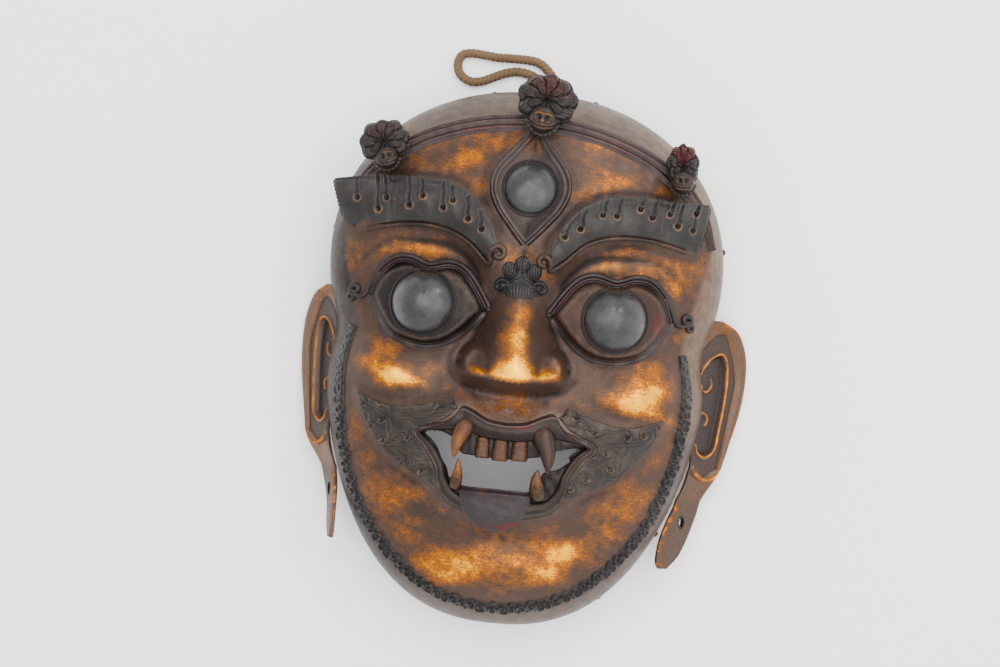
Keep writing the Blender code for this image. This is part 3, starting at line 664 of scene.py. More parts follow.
# ---- skin ----
def square_to_face(u, v):
    r = np.maximum(np.abs(u), np.abs(v))
    with np.errstate(divide="ignore", invalid="ignore"):
        theta = np.where(
            np.abs(u) >= np.abs(v),
            np.where(u >= 0, 0.0, math.pi) + math.pi / 4 * np.where(u == 0, 0, v / np.where(u == 0, 1, u)),
            np.where(v >= 0, math.pi / 2, -math.pi / 2) - math.pi / 4 * np.where(v == 0, 0, u / np.where(v == 0, 1, v)),
        )
    theta = (theta + math.pi) % (2 * math.pi) - math.pi
    radius = np.interp(theta, THETA, EDGE)
    p = bulge(theta)
    top = 1.0 - WALL_SHARE
    phi = np.clip(r / top, 0, 1) ** 1.22 * math.pi / 2
    rho = np.sin(phi) ** (2.0 / p)
    z = WALL_UP + CAP_RISE * np.clip(np.cos(phi), 0, 1) ** (2.0 / p)
    x, y = rho * radius * np.cos(theta), rho * radius * np.sin(theta)
    z = z + (lookup(RELIEF, x, y) + hammer(x, y)) * sstep(1.0, 0.93, rho)
    z = np.where(r > top, WALL_UP * (1 - (r - top) / (1 - top)), z)
    return np.stack([x * pull_in(y, rho), y, z], -1)


FACE_RING = np.vstack([TRIM[::-1] * (1, 1), [(118, 30), (126, 60), (131, 88)], BAND[::-1], (BAND * (-1, 1))[1:], [(-131, 88), (-126, 60), (-118, 30)], (TRIM * (-1, 1))[:-1]])


def skin_colours(x, y, z):
    """Under colour, gilding and paint of the skin."""
    a = np.abs(x)
    face = sstep(-3, 3, depth_in(x, y, FACE_RING))
    blot = waves(x, y, 26, 21)
    small = waves(x, y, 9, 22)
    tint = blend(TAUPE, BROWN, face)
    tint = blend(tint, DARK_BROWN, 0.35 * face * sstep(-0.2, 0.9, blot))
    gild = 0.25 * face + 0.15 * blot * face + 0.10 * small * face
    # gilding patches; the strongest, on cheeks, nose and chin, reach the patina's top level and are partly painted
    # highlight
    for cx, cy, sx, sy, amount in (
        (-86, -19, 19, 13, 0.80), (-84, -22, 9, 7, 0.30), (-66, -24, 13, 5, 0.50), (-54, -15, 9, 5, 0.42), (88, -24, 27, 13, 0.85), (84, -31, 14, 6, 0.45), (104, -8, 14, 11, 0.50), (4, 12, 7, 17, 0.80), (1, -9, 24, 6, 0.95), (-28, -150, 20, 11, 0.62), (45, -135, 16, 17, 0.70), (-5, -145, 40, 12, 0.25),
        (-92, 70, 24, 6, 0.28), (-60, 68, 26, 4, 0.12), (84, 76, 30, 6, 0.28), (108, 62, 9, 12, 0.34), (52, 146, 22, 14, 0.08), (-46, 143, 22, 13, 0.27), (-44, 112, 10, 12, 0.25), (42, 122, 12, 16, 0.16),
        (-74, -108, 20, 22, 0.26), (-96, -82, 9, 22, 0.22), (80, -100, 22, 24, 0.20), (104, -50, 12, 30, 0.24), (-108, -50, 9, 22, 0.15), (0, -128, 40, 12, 0.10), (12, -38, 9, 8, 0.20), (-20, -36, 8, 8, 0.16), (-4, -40, 24, 8, 0.02),
    ):
        gild = gild + amount * bell(x, y, cx, cy, sx, sy) * face
    for line, width, amount in ((LIP, 7, 0.35), (DROP, 6, 0.30), (BAND, 6, 0.30), (LID_UP, 6, 0.30), (LID_LOW, 7, 0.30), (CREASE, 3, 0.18)):
        gild = gild - amount * np.exp(-((near(a, y, line)[0] / width) ** 2))
    trim_d = near(a, y, TRIM)[0]
    gild = gild - 0.30 * np.exp(-((trim_d / 10) ** 2)) * face
    gild = gild - 0.45 * np.exp(-((np.clip(depth_in(a, y, BROW), -40, 0) / 5) ** 2)) * (y > 60)
    gild = gild - 0.4 * np.exp(-((np.clip(depth_in(a, y, MOUSTACHE), -40, 0) / 4) ** 2))
    # gilded strip along the nose foot, partly a painted highlight on its edge
    gild = gild + 0.7 * hump(y, -13.0 + 4.0 * (x / 36) ** 2, 2.6) * sstep(36, 26, a) * sstep(-38, -26, x)
    tint = blend(tint, rgb(124, 98, 86), 0.9 * bell(x, y, 0, -36, 30, 9))
    # the first term: less gilding in a thin band under the nose foot, a painted shadow of the nose
    gild = gild - 0.8 * bell(x, y, 0, -20, 34, 3.6) - 0.45 * bell(a, y, 17, 14, 7, 22) - 0.35 * bell(a, y, 62, -8, 16, 10)
    gild = gild - 0.55 * np.exp(-((near(a, y, NOSE_FOLD)[0] / 3.5) ** 2)) - 0.40 * np.exp(-((near(a, y, FOLD)[0] / 7.0) ** 2)) - 0.4 * bell(a, y, 52, -112, 14, 9)
    gild = gild - 0.35 * bell(a, y, 20, 46, 12, 14) - 0.30 * bell(x, y, 0, 90, 30, 14)
    eye = sstep(-2, 2, depth_in(a, y, ALMOND))
    tint = blend(tint, blend(rgb(20, 18, 17), rgb(50, 35, 29), sstep(-20, 20, x)), 0.94 * eye)
    gild = gild * (1 - 0.9 * eye)
    drop = sstep(-2, 2, depth_in(a, y, DROP_RING))
    tint = blend(tint, rgb(50, 43, 41), 0.85 * drop)
    gild = gild * (1 - 0.85 * drop) + 0.35 * drop * bell(x, y, 0, 150, 10, 8)
    red = 0.36 * eye * bell(x, y, 97, 30, 6, 13) + 0.12 * eye * bell(x, y, -98, 28, 5, 10)
    side = 1 - face
    along = np.arctan2(y, x) * 150
    streaks = waves(along / 2.0, z, 7, 24) * 0.4 + waves(along / 4.5, z, 2.6, 25) * 0.6
    # side walls: lighter on the crown wall towards the right and on the right jaw wall, painted light over the wall's
    # own taupe; near black on the left wall below the crown, painted shade
    tint = blend(tint, rgb(116, 102, 90), 0.85 * side * sstep(95, 30, z) * sstep(60, 150, y) * (0.35 + 0.65 * sstep(-70, 70, x)))
    tint = blend(tint, rgb(120, 96, 76), 0.7 * side * sstep(60, 120, x) * sstep(-60, -20, y))
    tint = blend(tint, rgb(15, 14, 13), 0.95 * side * sstep(-40, -100, x) * sstep(165, 100, y))
    tint = blend(tint, rgb(44, 37, 34), 0.25 * side * sstep(-0.3, 0.8, small))
    tint = blend(tint, rgb(44, 37, 34), 0.34 * side * sstep(-0.6, 0.9, streaks))
    gild = gild + 0.12 * side * sstep(0.2, 1.0, blot)
    return tint, np.clip(gild, 0, 1.4), np.clip(red, 0, 1)


def skin():
    n = 300
    u, v = np.meshgrid(np.linspace(-1, 1, n + 1), np.linspace(-1, 1, n + 1), indexing="ij")
    p = square_to_face(u, v)
    x, y, z = p[..., 0], p[..., 1], p[..., 2]
    keep = ~(depth_in(x, y, MOUTH_RING) > -2.2)
    tint, gild, red = skin_colours(x, y, z)
    bag = Bag()
    nrm = grid_normals(p)
    # cav: hollows on up-facing skin, which the patina darkens as painted shade; less of it on the upper lip
    cav = np.clip(((smooth_grid(p, 5) - p) * nrm).sum(-1) / 0.45, -1, 1) * sstep(0.45, 0.75, nrm[..., 2]) * (1 - 0.9 * bell(x, y, 0, -36, 34, 11))
    bag.add(p, tint, gild, red, keep=keep, cav=cav)
    obj = bag.make("face_skin", SKIN)
    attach(obj, "root")
    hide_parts("face_shell")

    n = 150
    u, v = np.meshgrid(np.linspace(-1, 1, n + 1), np.linspace(-1, 1, n + 1), indexing="ij")
    p = square_to_face(u, v)
    nrm = grid_normals(p)
    q = p - SHEET * nrm
    r = np.maximum(np.abs(u), np.abs(v))
    below = skin_z(q[..., 0], q[..., 1]) - 1.6
    q[..., 2] = np.where(r < 1.0 - WALL_SHARE - 0.04, np.minimum(q[..., 2], below), q[..., 2])
    q[..., 2] = np.where(r > 1 - 1e-9, 0.0, np.maximum(q[..., 2], 0.0))
    keep = ~(depth_in(p[..., 0], p[..., 1], MOUTH_RING) > -7.0)
    bag = Bag()
    bag.add(q, blend(DARK_BROWN, TAUPE, 0.5 + 0.4 * waves(p[..., 0], p[..., 1], 40, 9)), 0.05, 0.0, keep=keep, flip=True, cavity=0.8)
    edge = [(i, 0) for i in range(n)] + [(n, j) for j in range(n)] + [(n - i, n) for i in range(n)] + [(0, n - j) for j in range(n)]
    outer = np.array([p[i, j] for i, j in edge + edge[:1]])
    inner = np.array([q[i, j] for i, j in edge + edge[:1]])
    outer[:, 2], inner[:, 2] = 0.0, 0.0
    bag.add(np.stack([outer, 0.5 * (outer + inner), inner], 1), TAUPE, 0.1, cav=np.full((len(outer), 3), -0.2))
    obj = bag.make("sheet_inside", INNER)
    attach(obj, "root")


skin()


def put(bag, name, material, nodes=()):
    obj = bag.make(name, material)
    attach(obj, "root")
    if nodes:
        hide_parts(*nodes)
    return obj


# ---- headband, jaw trim, third-eye frame ----
def headband():
    bag = Bag()
    a, y, s, t = ribbon(BAND, lambda s: 2.2 + 5.2 * sstep(168, 115, s), 34, 0.8)
    h = 0.5 + 1.3 * hump(t, 0.62, 0.13) + 1.5 * hump(t, 0.10, 0.17) + 1.2 * hump(t, -0.48, 0.16) - 0.5 * hump(t, 0.37, 0.08) - 0.5 * hump(t, -0.2, 0.08) + dive(t, 0.2, 2.2)
    for side in (1, -1):
        x = side * a
        red = hump(t, -0.44, 0.09) * (0.95 * bell(x, y, -38, 161, 26, 14) + 0.6 * bell(x, y, 66, 153, 24, 16)) + 0.25 * hump(t, 0.1, 0.2) * bell(x, y, 60, 152, 30, 18)
        tint = blend(PURPLE, rgb(52, 41, 40), 0.5 + 0.4 * waves(x, y, 14, 31))
        bag.add(on_skin(x, y, h), tint, 0.02, np.clip(red, 0, 1), flip=side < 0, cavity=0.3)
    put(bag, "headband", CHASED)


def jaw_trim():
    for side, name in ((1, "jaw_trim_right"), (-1, "jaw_trim_left")):
        bag = Bag()
        a, y, s, t = ribbon(TRIM, lambda s: 3.0 + 1.4 * sstep(0, 60, s), 26, 0.45)
        half = 3.0 + 1.4 * sstep(0, 60, s)
        s2 = s + 1.3 * waves(s, 0 * s, 19, 34 + side)
        pitch = 6.4
        cell = np.floor(s2 / pitch)
        u = (s2 / pitch - cell - 0.5) * pitch
        turn = np.where(cell % 2 > 0, -1.0, 1.0)
        w = t * half + 0.7 * np.sin(cell * 2.4)
        r = np.hypot(u * 0.95, w)
        ang = np.arctan2(w * turn, u)
        curl = 0.5 + 0.5 * np.cos(2 * math.pi * r / 3.0 - ang + 0.8 * np.sin(cell * 1.7))
        strength = (0.35 + 0.65 * sstep(20, 50, s)) if side > 0 else 0.3 + 0.7 * sstep(30, 90, s)
        wave = 0.5 + 0.5 * np.sin(2 * math.pi * s2 / pitch + 2.2 * t)
        h = 1.5 + strength * (1.5 * curl * sstep(4.4, 3.2, r) + 0.7 * wave * sstep(0.5, 0.9, np.abs(t)) - 0.8) + 0.2 * (1 - strength) * hump(t, 0, 0.6) + dive(t, 0.26, 2.6)
        tint = blend(rgb(20, 21, 23), rgb(34, 33, 33), 0.5 + 0.5 * waves(a, y, 12, 33 + side))
        bag.add(on_skin(side * a, y, h), tint, 0.0, flip=side < 0, cavity=0.5, blur=2)
        put(bag, name, TRIM_METAL)


def third_eye():
    bag = Bag()
    line = offset_line(DROP, 1.0)
    a, y, s, t = ribbon(DROP, 4.3, 26, 0.6)
    h = 0.3 + 1.7 * hump(t, 0.35, 0.24) - 0.6 * hump(t, -0.2, 0.2) + dive(t, 0.26, 1.8)
    for side in (1, -1):
        tint = blend(blend(BLUE_BLACK, PURPLE, 0.3), rgb(50, 46, 46), sstep(0.6, 0.3, np.abs(t - 0.35)) * 0.5)
        bag.add(on_skin(side * a, y, h), tint, 0.05, flip=side < 0, cavity=0.3)
    put(bag, "third_eye_frame", CHASED)


headband()
jaw_trim()
third_eye()


# ---- brows ----
RINGS = {
    -1: [(121.2, 101.1), (104.8, 94.5), (99.3, 102.1), (82.6, 98.3), (73.5, 104.9), (58.5, 98.1), (52.1, 103), (40.2, 91.7), (30.3, 85.1)],
    1: [(27, 85), (37.1, 91.8), (51.3, 102.4), (61, 103.1), (77, 109.4), (85.6, 104.8), (97.4, 108.2), (103.7, 101.2), (115, 99.6), (115.8, 110.9)],
}


MOULD = {
    -1: [(24.0, 63.6), (38, 76.4), (52, 83.2), (69, 86.4), (84, 86.0), (97, 83.8), (114, 79.6)],
    1: [(20.2, 62.4), (28, 68.4), (40, 80.2), (52, 86.4), (66, 89.4), (80, 90), (92, 88.8), (113, 84.0)],
}
BROW_END = {-1: [(136.0, 97), (130.5, 86.5), (123, 79.6)], 1: [(125.0, 103), (120.5, 84.5)]}


def brow_point(a, y, side, h):
    """The brow plate leaves the skin beyond a = 92 and stands free."""
    lean = np.clip(a - 92, 0, 60)
    p = on_skin(side * np.minimum(a, 92), y, np.zeros_like(a))
    nrm = on_skin(side * np.minimum(a, 92), y, np.ones_like(a)) - p
    p = p + nrm * np.asarray(h)[..., None]
    p[..., 0] += side * (a - np.minimum(a, 92))
    p[..., 2] += 1.0 - 0.62 * lean * sstep(0, 8, lean)
    return p


def brow(side, tip, name):
    top = spline(BROW_TOP + [tip], 8)
    low = spline(BROW_END[side] + [(q[0], q[1] + 1.2) for q in MOULD[side][::-1]], 8)
    ring = np.vstack([top, low])
    step = 0.40
    ga, gy = np.meshgrid(np.arange(14, tip[0] + 3, step), np.arange(58, 123, step), indexing="ij")
    depth = depth_in(ga, gy, ring)
    near_top, along_top, _ = near(ga, gy, top)
    near_low, _, _ = near(ga, gy, low)
    across = near_low / np.maximum(near_low + near_top, 1e-6)
    d, along, _ = near(ga, gy, BROW_SPINE)
    length = np.linalg.norm(np.diff(BROW_SPINE, axis=0), axis=1).sum()
    s = along * length + np.clip(ga - 118, 0, 40)
    lines = np.sin(2 * math.pi * (s + 9.0 * across + 1.3 * waves(ga, gy, 15, 41)) / 1.4) * (0.55 + 0.45 * waves(ga, gy, 9, 43))
    h = 0.9 + 0.17 * lines + 1.9 * across ** 2 + 0.35 * waves(ga, gy, 12, 44) - 0.3 * hump(across, 0.88, 0.04) + 0.5 * hump(across, 0.96, 0.04)
    tint = blend(GREEN_GREY, CHARCOAL, 0.5 + 0.5 * waves(ga, gy, 18, 42))
    bright = np.zeros_like(ga)
    dark = np.zeros_like(ga)
    for k, (cx, cy) in enumerate(RINGS[side]):
        r = np.hypot(ga - cx, gy - cy)
        ang = np.arctan2(gy - cy, ga - cx)
        open_top = 1 - hump(np.mod(ang - math.pi / 2 + math.pi, 2 * math.pi) - math.pi, 0.15, 0.55)
        h = h + (0.9 * hump(r, 2.5, 0.65) * open_top - 1.4 * hump(r, 0.0, 1.3)) - 0.15 * lines * sstep(4.0, 3.0, r)
        # bright: painted highlight, a crescent on the lower side of each ring
        bright = np.maximum(bright, hump(r, 2.5, 0.6) * open_top * (0.45 + 0.55 * sstep(0.6, -0.8, np.sin(ang))) * (0.75 + 0.25 * math.sin(k * 2.1)))
        # dark: painted shade in the pit at each ring's centre
        dark = np.maximum(dark, hump(r, 0.0, 1.3))
        edge_y = np.interp(cx, top[np.argsort(top[:, 0]), 0], top[np.argsort(top[:, 0]), 1]) - 1.5
        rise = max(edge_y - cy, 3.0)
        stem = np.array([(cx + 0.6, cy + 0.8), (cx + 1.4, cy + rise * 0.3), (cx + 1.2, cy + rise * 0.65), (cx + 2.6, cy + rise)])
        d2, k2, _ = near(ga, gy, spline(stem, 4))
        wide = 0.5 + 0.8 * (1 - k2) ** 2
        h = h - 0.8 * hump(d2, 0, wide) + 0.35 * hump(d2, 1.8, 0.7)
        # painted shade along each stem groove
        dark = np.maximum(dark, (0.7 - 0.45 * k2) * hump(d2, 0, wide))
    h = h * sstep(-0.2, 1.2, depth)
    free = sstep(84, 90, ga)
    drop = np.where(free > 0.5, -2.2, -1.6)
    h = h + drop * (1 - sstep(-0.4, 0.9, depth))
    p = brow_point(ga, gy, side, h)
    # painted highlight on the rings and near-black painted shade in the pits and stems; dark also adds painted shade
    # through extra
    tint = blend(tint, rgb(126, 92, 64), 0.62 * bright)
    tint = blend(tint, rgb(9, 8, 8), 0.92 * dark)
    bag = Bag()
    bag.add(p, tint, 0.12 * bright, 0.0, keep=depth > -0.9, flip=side < 0, cavity=0.55, blur=3, extra=0.45 * dark)
    # underside of the part that stands free
    step = 1.0
    ga, gy = np.meshgrid(np.arange(82, tip[0] + 3, step), np.arange(74, 123, step), indexing="ij")
    depth = depth_in(ga, gy, ring)
    q = brow_point(ga, gy, side, np.full(ga.shape, -2.1))
    bag.add(q, rgb(40, 36, 34), 0.0, keep=depth > -0.9, flip=side > 0, cavity=0.5)
    put(bag, name, CHASED)


brow(-1, (141.5, 113.5), "brow_left")
brow(1, (126.5, 119), "brow_right")


def moulding():
    """Rolled lower edge of each brow that curls up at the inner end."""
    bag = Bag()
    for side in (1, -1):
        cx, cy, r1 = (14.6, 67.0, 5.4) if side > 0 else (17.6, 70.2, 6.2)
        end = MOULD[side][0]
        turn_end = math.atan2(end[1] - cy, end[0] - cx)
        turns = 1.05 if side > 0 else 1.2
        curl = spiral_line(cx, cy, 1.5, r1, turn_end + turns * 2 * math.pi, -turns, 56)
        run = spline([tuple(curl[-1])] + MOULD[side], 12)
        line = resample(np.vstack([curl, run[1:]]), 0.6)
        n = len(line)
        i = np.arange(n)
        radius = closed_ends(1.5 + 0.6 * sstep(80, 30, i), 4)
        p = on_skin(side * line[:, 0], line[:, 1], 1.0 + 0.4 * sstep(60, 30, i))
        worn = 0.5 + 0.5 * waves(line[:, 0], line[:, 1], 22, 51)
        bag.add(tube(p, radius, 12), blend(rgb(32, 28, 27), rgb(52, 40, 34), worn)[:, None, :], (0.0 + 0.14 * worn)[:, None], wrap=True, flip=True, cav=-0.2 * np.ones((n, 12)))
        knob = on_skin(np.array([[side * cx]]), np.array([[cy]]), np.array([[1.6]]))[0, 0]
        bag.add(blob(knob, (2.0, 2.0, 1.7), None, 12, 16), rgb(50, 40, 36), 0.08, wrap=True, cav=-0.3 * np.ones((12, 16)))
    put(bag, "brow_moulding", CHASED)


moulding()


# ---- eyelids ----
def lids():
    bag = Bag()
    for side in (1, -1):
        for shift, r, lift, colour in ((1.9, 1.75, 0.7, rgb(40, 35, 35)), (-0.7, 1.0, 1.0, rgb(46, 35, 35)), (-2.3, 0.75, 0.4, rgb(30, 28, 29))):
            line = resample(offset_line(LID_UP, shift), 0.7)
            x, y = side * line[:, 0], line[:, 1]
            z = 0.5 * (skin_z(x, y) + np.convolve(np.pad(skin_z(x, y), 8, mode="edge"), np.ones(17) / 17, "valid"))
            n = len(line)
            path = np.stack([x, y, z + lift], 1)
            radius = closed_ends(np.full(n, r), 5)
            patch = sstep(-0.1, 0.6, waves(x, y, 14, 63)) * (shift < 0) * (shift > -2)
            bag.add(tube(path, radius, 14), blend(colour, rgb(54, 48, 50), 0.2 + 0.2 * waves(x, y, 10, 61))[:, None, :], 0.0, (0.26 * patch)[:, None], wrap=True, flip=True, cav=-0.1 * np.ones((n, 14)))
        a, y, s, t = ribbon(LID_LOW, lambda s: 2.6 * np.sqrt(np.clip(sstep(0, 8, s), 0.02, 1)), 20, 0.6)
        h = 0.2 + 1.0 * hump(t, -0.1, 0.3) - 0.5 * hump(t, 0.5, 0.12) + dive(t, 0.24, 1.4)
        tint = blend(rgb(40, 37, 37), rgb(62, 54, 52), 0.4 + 0.4 * waves(a, y, 10, 62))
        bag.add(on_skin(side * a, y, h), tint, 0.0, (0.75 if side > 0 else 0.35) * hump(t, -0.25, 0.14) * sstep(-0.6, 0.4, waves(a, y, 16, 64)), flip=side < 0, cavity=0.45)
        # outer S-curve with a double scroll, inner knob
        tail = spline([(100, 51), (106, 42), (109, 35), (113, 32.5), (117.5, 33.5)], 10)
        hook = spiral_line(117.0, 37.0, 3.9, 1.0, -1.2, 1.25, 30)
        hook2 = spiral_line(119.5, 31.5, 3.0, 0.8, 2.0, -1.1, 24)
        for piece, r in ((np.vstack([tail, hook]), 1.7), (hook2, 1.5)):
            line = resample(piece, 0.5)
            p = on_skin(side * line[:, 0], line[:, 1], np.full(len(line), 0.8))
            bag.add(tube(p, closed_ends(np.full(len(line), r), 3), 10), CHARCOAL, 0.0, wrap=True, flip=True, cav=-0.25 * np.ones((len(line), 10)))
        knob = on_skin(np.array([[side * 20.5]]), np.array([[31.0]]), np.array([[0.8]]))[0, 0]
        bag.add(blob(knob, (2.0, 1.6, 1.6), None, 12, 16), CHARCOAL, 0.0, wrap=True, cav=-0.3 * np.ones((12, 16)))
    put(bag, "eyelids", CHASED)


lids()


# ---- knot between the brows ----
def knot():
    step = 0.4
    gx, gy = np.meshgrid(np.arange(-21, 21.01, step), np.arange(36, 75, step), indexing="ij")
    a = np.abs(gx)
    peak = 51.5 - 0.5 * a
    shape = np.maximum.reduce([np.minimum(10.0 - a, np.minimum(gy - 40.5, peak + 3 - gy)), 6.2 - np.hypot(a - 12.8, gy - 48.8), 5.6 - np.hypot(a - 8.6, (gy - 59.5) / 1.1), 6.4 - np.hypot(gx, (gy - 63.5) / 1.1), 9 - np.hypot(gx, gy - 54)])
    h = 0.9 + 1.6 * sstep(0, 5, shape)
    arch = sstep(0.6, -0.4, gy - peak) * sstep(10.5, 9.5, a)
    h = h + arch * (0.75 * np.abs(np.cos(math.pi * gx / 1.9)) - 0.9) + 1.2 * hump(gy - peak, 1.0, 0.9) * sstep(11, 9, a)
    ribs = np.abs(np.cos(math.pi * np.hypot(a - 16, gy - 40) / 1.9))
    h = h + 0.6 * ribs * sstep(1.5, 3.0, gy - peak) * sstep(62, 57, gy) * sstep(12, 10, a)
    rc = np.hypot(a - 13, gy - 48.8)
    h = h + 1.0 * np.cos(2 * math.pi * rc / 3.6 - np.arctan2(gy - 48.8, a - 13)) * sstep(6.4, 5, rc)
    for cx, cy in ((-9.2, 60), (-0.4, 64.5), (8.6, 60.4)):
        rp = np.hypot((gx - cx) / 5.0, (gy - cy) / 6.2)
        h = h + 0.7 * np.sqrt(np.clip(1 - rp ** 2, 0, 1)) - 0.6 * hump(rp, 1.05, 0.12)
        h = h + 0.4 * np.cos(2 * math.pi * (gx - cx) / 1.9) * sstep(1, 0.6, rp)
    h = h * sstep(-0.4, 1.0, shape) - 1.8 * (1 - sstep(-0.6, 0.6, shape))
    bag = Bag()
    bag.add(on_skin(gx, gy, h), blend(BLUE_BLACK, CHARCOAL, 0.5 + 0.5 * waves(gx, gy, 9, 71)), 0.0, keep=shape > -1.2, cavity=0.35, blur=3)
    put(bag, "brow_knot", CHASED)


knot()


# ---- moustache ----
HOOKS = {
    1: ((37, -37, 3.2, 1), (46, -38, 3.4, -1), (59, -47, 3.6, 1), (69, -60, 3.6, -1), (83, -48, 3.4, 1), (94, -46, 2.8, -1), (73, -71, 3.4, 1), (60, -62, 3.2, 1),
        (47, -86, 3.2, -1), (57, -79, 3.4, 1), (104, -40, 2.2, 1)),
    -1: ((58, -33, 3.6, 1), (76, -36, 3.2, -1), (90, -40, 3.2, 1), (102, -42, 2.6, -1), (88, -52, 3.4, 1), (86, -66, 3.4, -1), (85, -73, 3.0, 1), (71, -80, 3.4, -1),
         (96, -58, 2.8, 1), (56, -84, 3.0, 1), (68, -62, 3.2, -1)),
}


def moustache(side, name):
    ring = MOUSTACHE
    top, low = spline(M_TOP, 8), spline(M_LOW[::-1], 8)
    step = 0.42
    ga, gy = np.meshgrid(np.arange(34, 113, step), np.arange(-98, -26, step), indexing="ij")
    depth = depth_in(ga, gy, ring)
    wa, wy = ga.copy(), gy.copy()
    for cx, cy, r0, turn in HOOKS[side]:
        dx, dy = ga - cx, gy - cy
        swing = turn * 2.6 * np.exp(-((np.hypot(dx, dy) / (1.5 * r0)) ** 2))
        wa += np.cos(swing) * dx - np.sin(swing) * dy - dx
        wy += np.sin(swing) * dx + np.cos(swing) * dy - dy
    d_top, d_low = near(wa, wy, top)[0], near(wa, wy, low)[0]
    f = d_top / np.maximum(d_top + d_low, 1e-6)
    lock = 0.5 + 0.5 * np.sin(2 * math.pi * (f * 4.5 + 0.30 * waves(wa, wy, 15, 85 + side)))
    lines = np.sin(2 * math.pi * (f * 25 + 0.6 * waves(wa, wy, 12, 81 + side))) * sstep(0.9, 1.4, (d_top + d_low) / 25)
    h = 0.9 + 0.34 * lines * sstep(0.02, 0.12, f) + 0.65 * lock + 0.6 * hump(f, 0.0, 0.06)
    # bright: painted highlight along the top edge and on the lock crests; dark: painted shade in the lock troughs
    bright = 0.35 * hump(f, 0.02, 0.04) + 0.10 * sstep(0.7, 1.0, lock)
    dark = 0.15 * sstep(0.3, 0.0, lock)
    for k, (cx, cy, r0, turn) in enumerate(HOOKS[side]):
        r = np.hypot(ga - cx, gy - cy)
        ang = np.arctan2(gy - cy, (ga - cx) * turn)
        arc = sstep(-0.6, 0.5, -np.sin(ang))
        tail = hump(ang, 2.2, 0.7) * sstep(r0 * 2.4, r0, r)
        h = h + 1.2 * hump(r, r0 * 0.7, 0.65) * arc - 1.2 * hump(r, 0.15 * r0, 0.9) - 0.9 * tail
        # painted shade in each hook's hollow and its tail
        dark = np.maximum(dark, np.maximum(0.8 * hump(r, 0.15 * r0, 0.9), 0.4 * tail))
        # painted highlight on the lower arc of each hook
        bright = np.maximum(bright, 0.6 * hump(r, r0 * 0.7, 0.5) * arc)
    # painted shade in the grooves between the hair lines
    dark = np.maximum(dark, 0.35 * sstep(0.1, -0.9, lines))
    h = h * sstep(-0.2, 1.4, depth) - 1.6 * (1 - sstep(-0.4, 0.9, depth))
    tint = blend(rgb(54, 49, 45), CHARCOAL, 0.35 + 0.5 * waves(ga, gy, 16, 82))
    # painted highlight; dark adds painted shade through extra
    tint = blend(tint, rgb(84, 68, 54), 0.8 * bright)
    bag = Bag()
    bag.add(on_skin(side * ga, gy, h), tint, 0.0, keep=depth > -0.9, flip=side < 0, cavity=0.45, blur=3, extra=0.5 * dark)
    put(bag, name, CHASED)


moustache(-1, "moustache_left")
moustache(1, "moustache_right")


# ---- mouth: lips, teeth, fangs, tongue ----
def lips():
    bag = Bag()
    rows = 26
    outer = LIP + (LIP - MOUTH) / np.maximum(np.linalg.norm(LIP - MOUTH, axis=1, keepdims=True), 1e-6) * 4.2
    outer[[0, -1], 0] = 0.0
    for side in (1, -1):
        t = np.linspace(0, 1, rows)
        line = []
        for k in t:
            q = outer * (1 - k / 0.35) + LIP * (k / 0.35) if k < 0.35 else LIP * (1 - (k - 0.35) / 0.65) + MOUTH * ((k - 0.35) / 0.65)
            line.append(q)
        q = np.stack(line, 1)
        tt = np.broadcast_to(t[None, :], q.shape[:2])
        low = sstep(-56, -64, q[..., 1])
        h = -1.5 * (1 - sstep(0, 0.12, tt)) + 0.4 + 1.2 * hump(tt, 0.32, 0.08) + 1.1 * sstep(0.34, 0.6, tt) * (1 - 0.4 * sstep(0.7, 1.0, tt)) - 1.0 * sstep(0.90, 1.0, tt) + 0.4 * low * hump(tt, 0.7, 0.2)
        q = q.copy()
        if side > 0:
            q[..., 0] -= 3.6 * sstep(34, 60, q[..., 0])
        x = side * np.maximum(q[..., 0], 0.0)
        p = on_skin(x, q[..., 1], h)
        wall = p[:, -1:, :].repeat(7, 1)
        wall[..., 2] -= np.linspace(0.7, 4.5, 7)[None, :]
        under = []
        for k in (0.25, 0.6, 1.0):
            r = MOUTH * (1 - k) + outer * k
            rx = r[:, 0] - (3.6 * sstep(34, 60, r[:, 0]) if side > 0 else 0.0)
            under.append(on_skin(side * np.maximum(rx, 0.0), r[:, 1], np.full(len(r), -3.6 + 1.0 * k)))
        p = np.concatenate([p, wall, np.stack(under, 1)], 1)
        full_t = np.concatenate([tt, np.ones((len(q), 10))], 1)
        x, y = p[..., 0], p[..., 1]
        upper = sstep(-70, -60, y)
        tint = blend(rgb(38, 31, 28), rgb(25, 21, 20), sstep(0.45, 0.9, full_t))
        # painted highlight: a lighter line on the outer ridge of the upper lip
        tint = blend(tint, rgb(66, 52, 55), 0.7 * upper * hump(full_t, 0.32, 0.06))
        red = 0.9 * upper * hump(full_t, 0.36, 0.07) * bell(x, y, 11, -50, 7, 12)
        # extra: painted shade on the inner wall and underside of the lips
        bag.add(p, tint, 0.0, np.clip(red, 0, 1), flip=side > 0, cavity=0.35, extra=0.6 * sstep(0.97, 1.0, full_t))
    put(bag, "lips", CHASED)


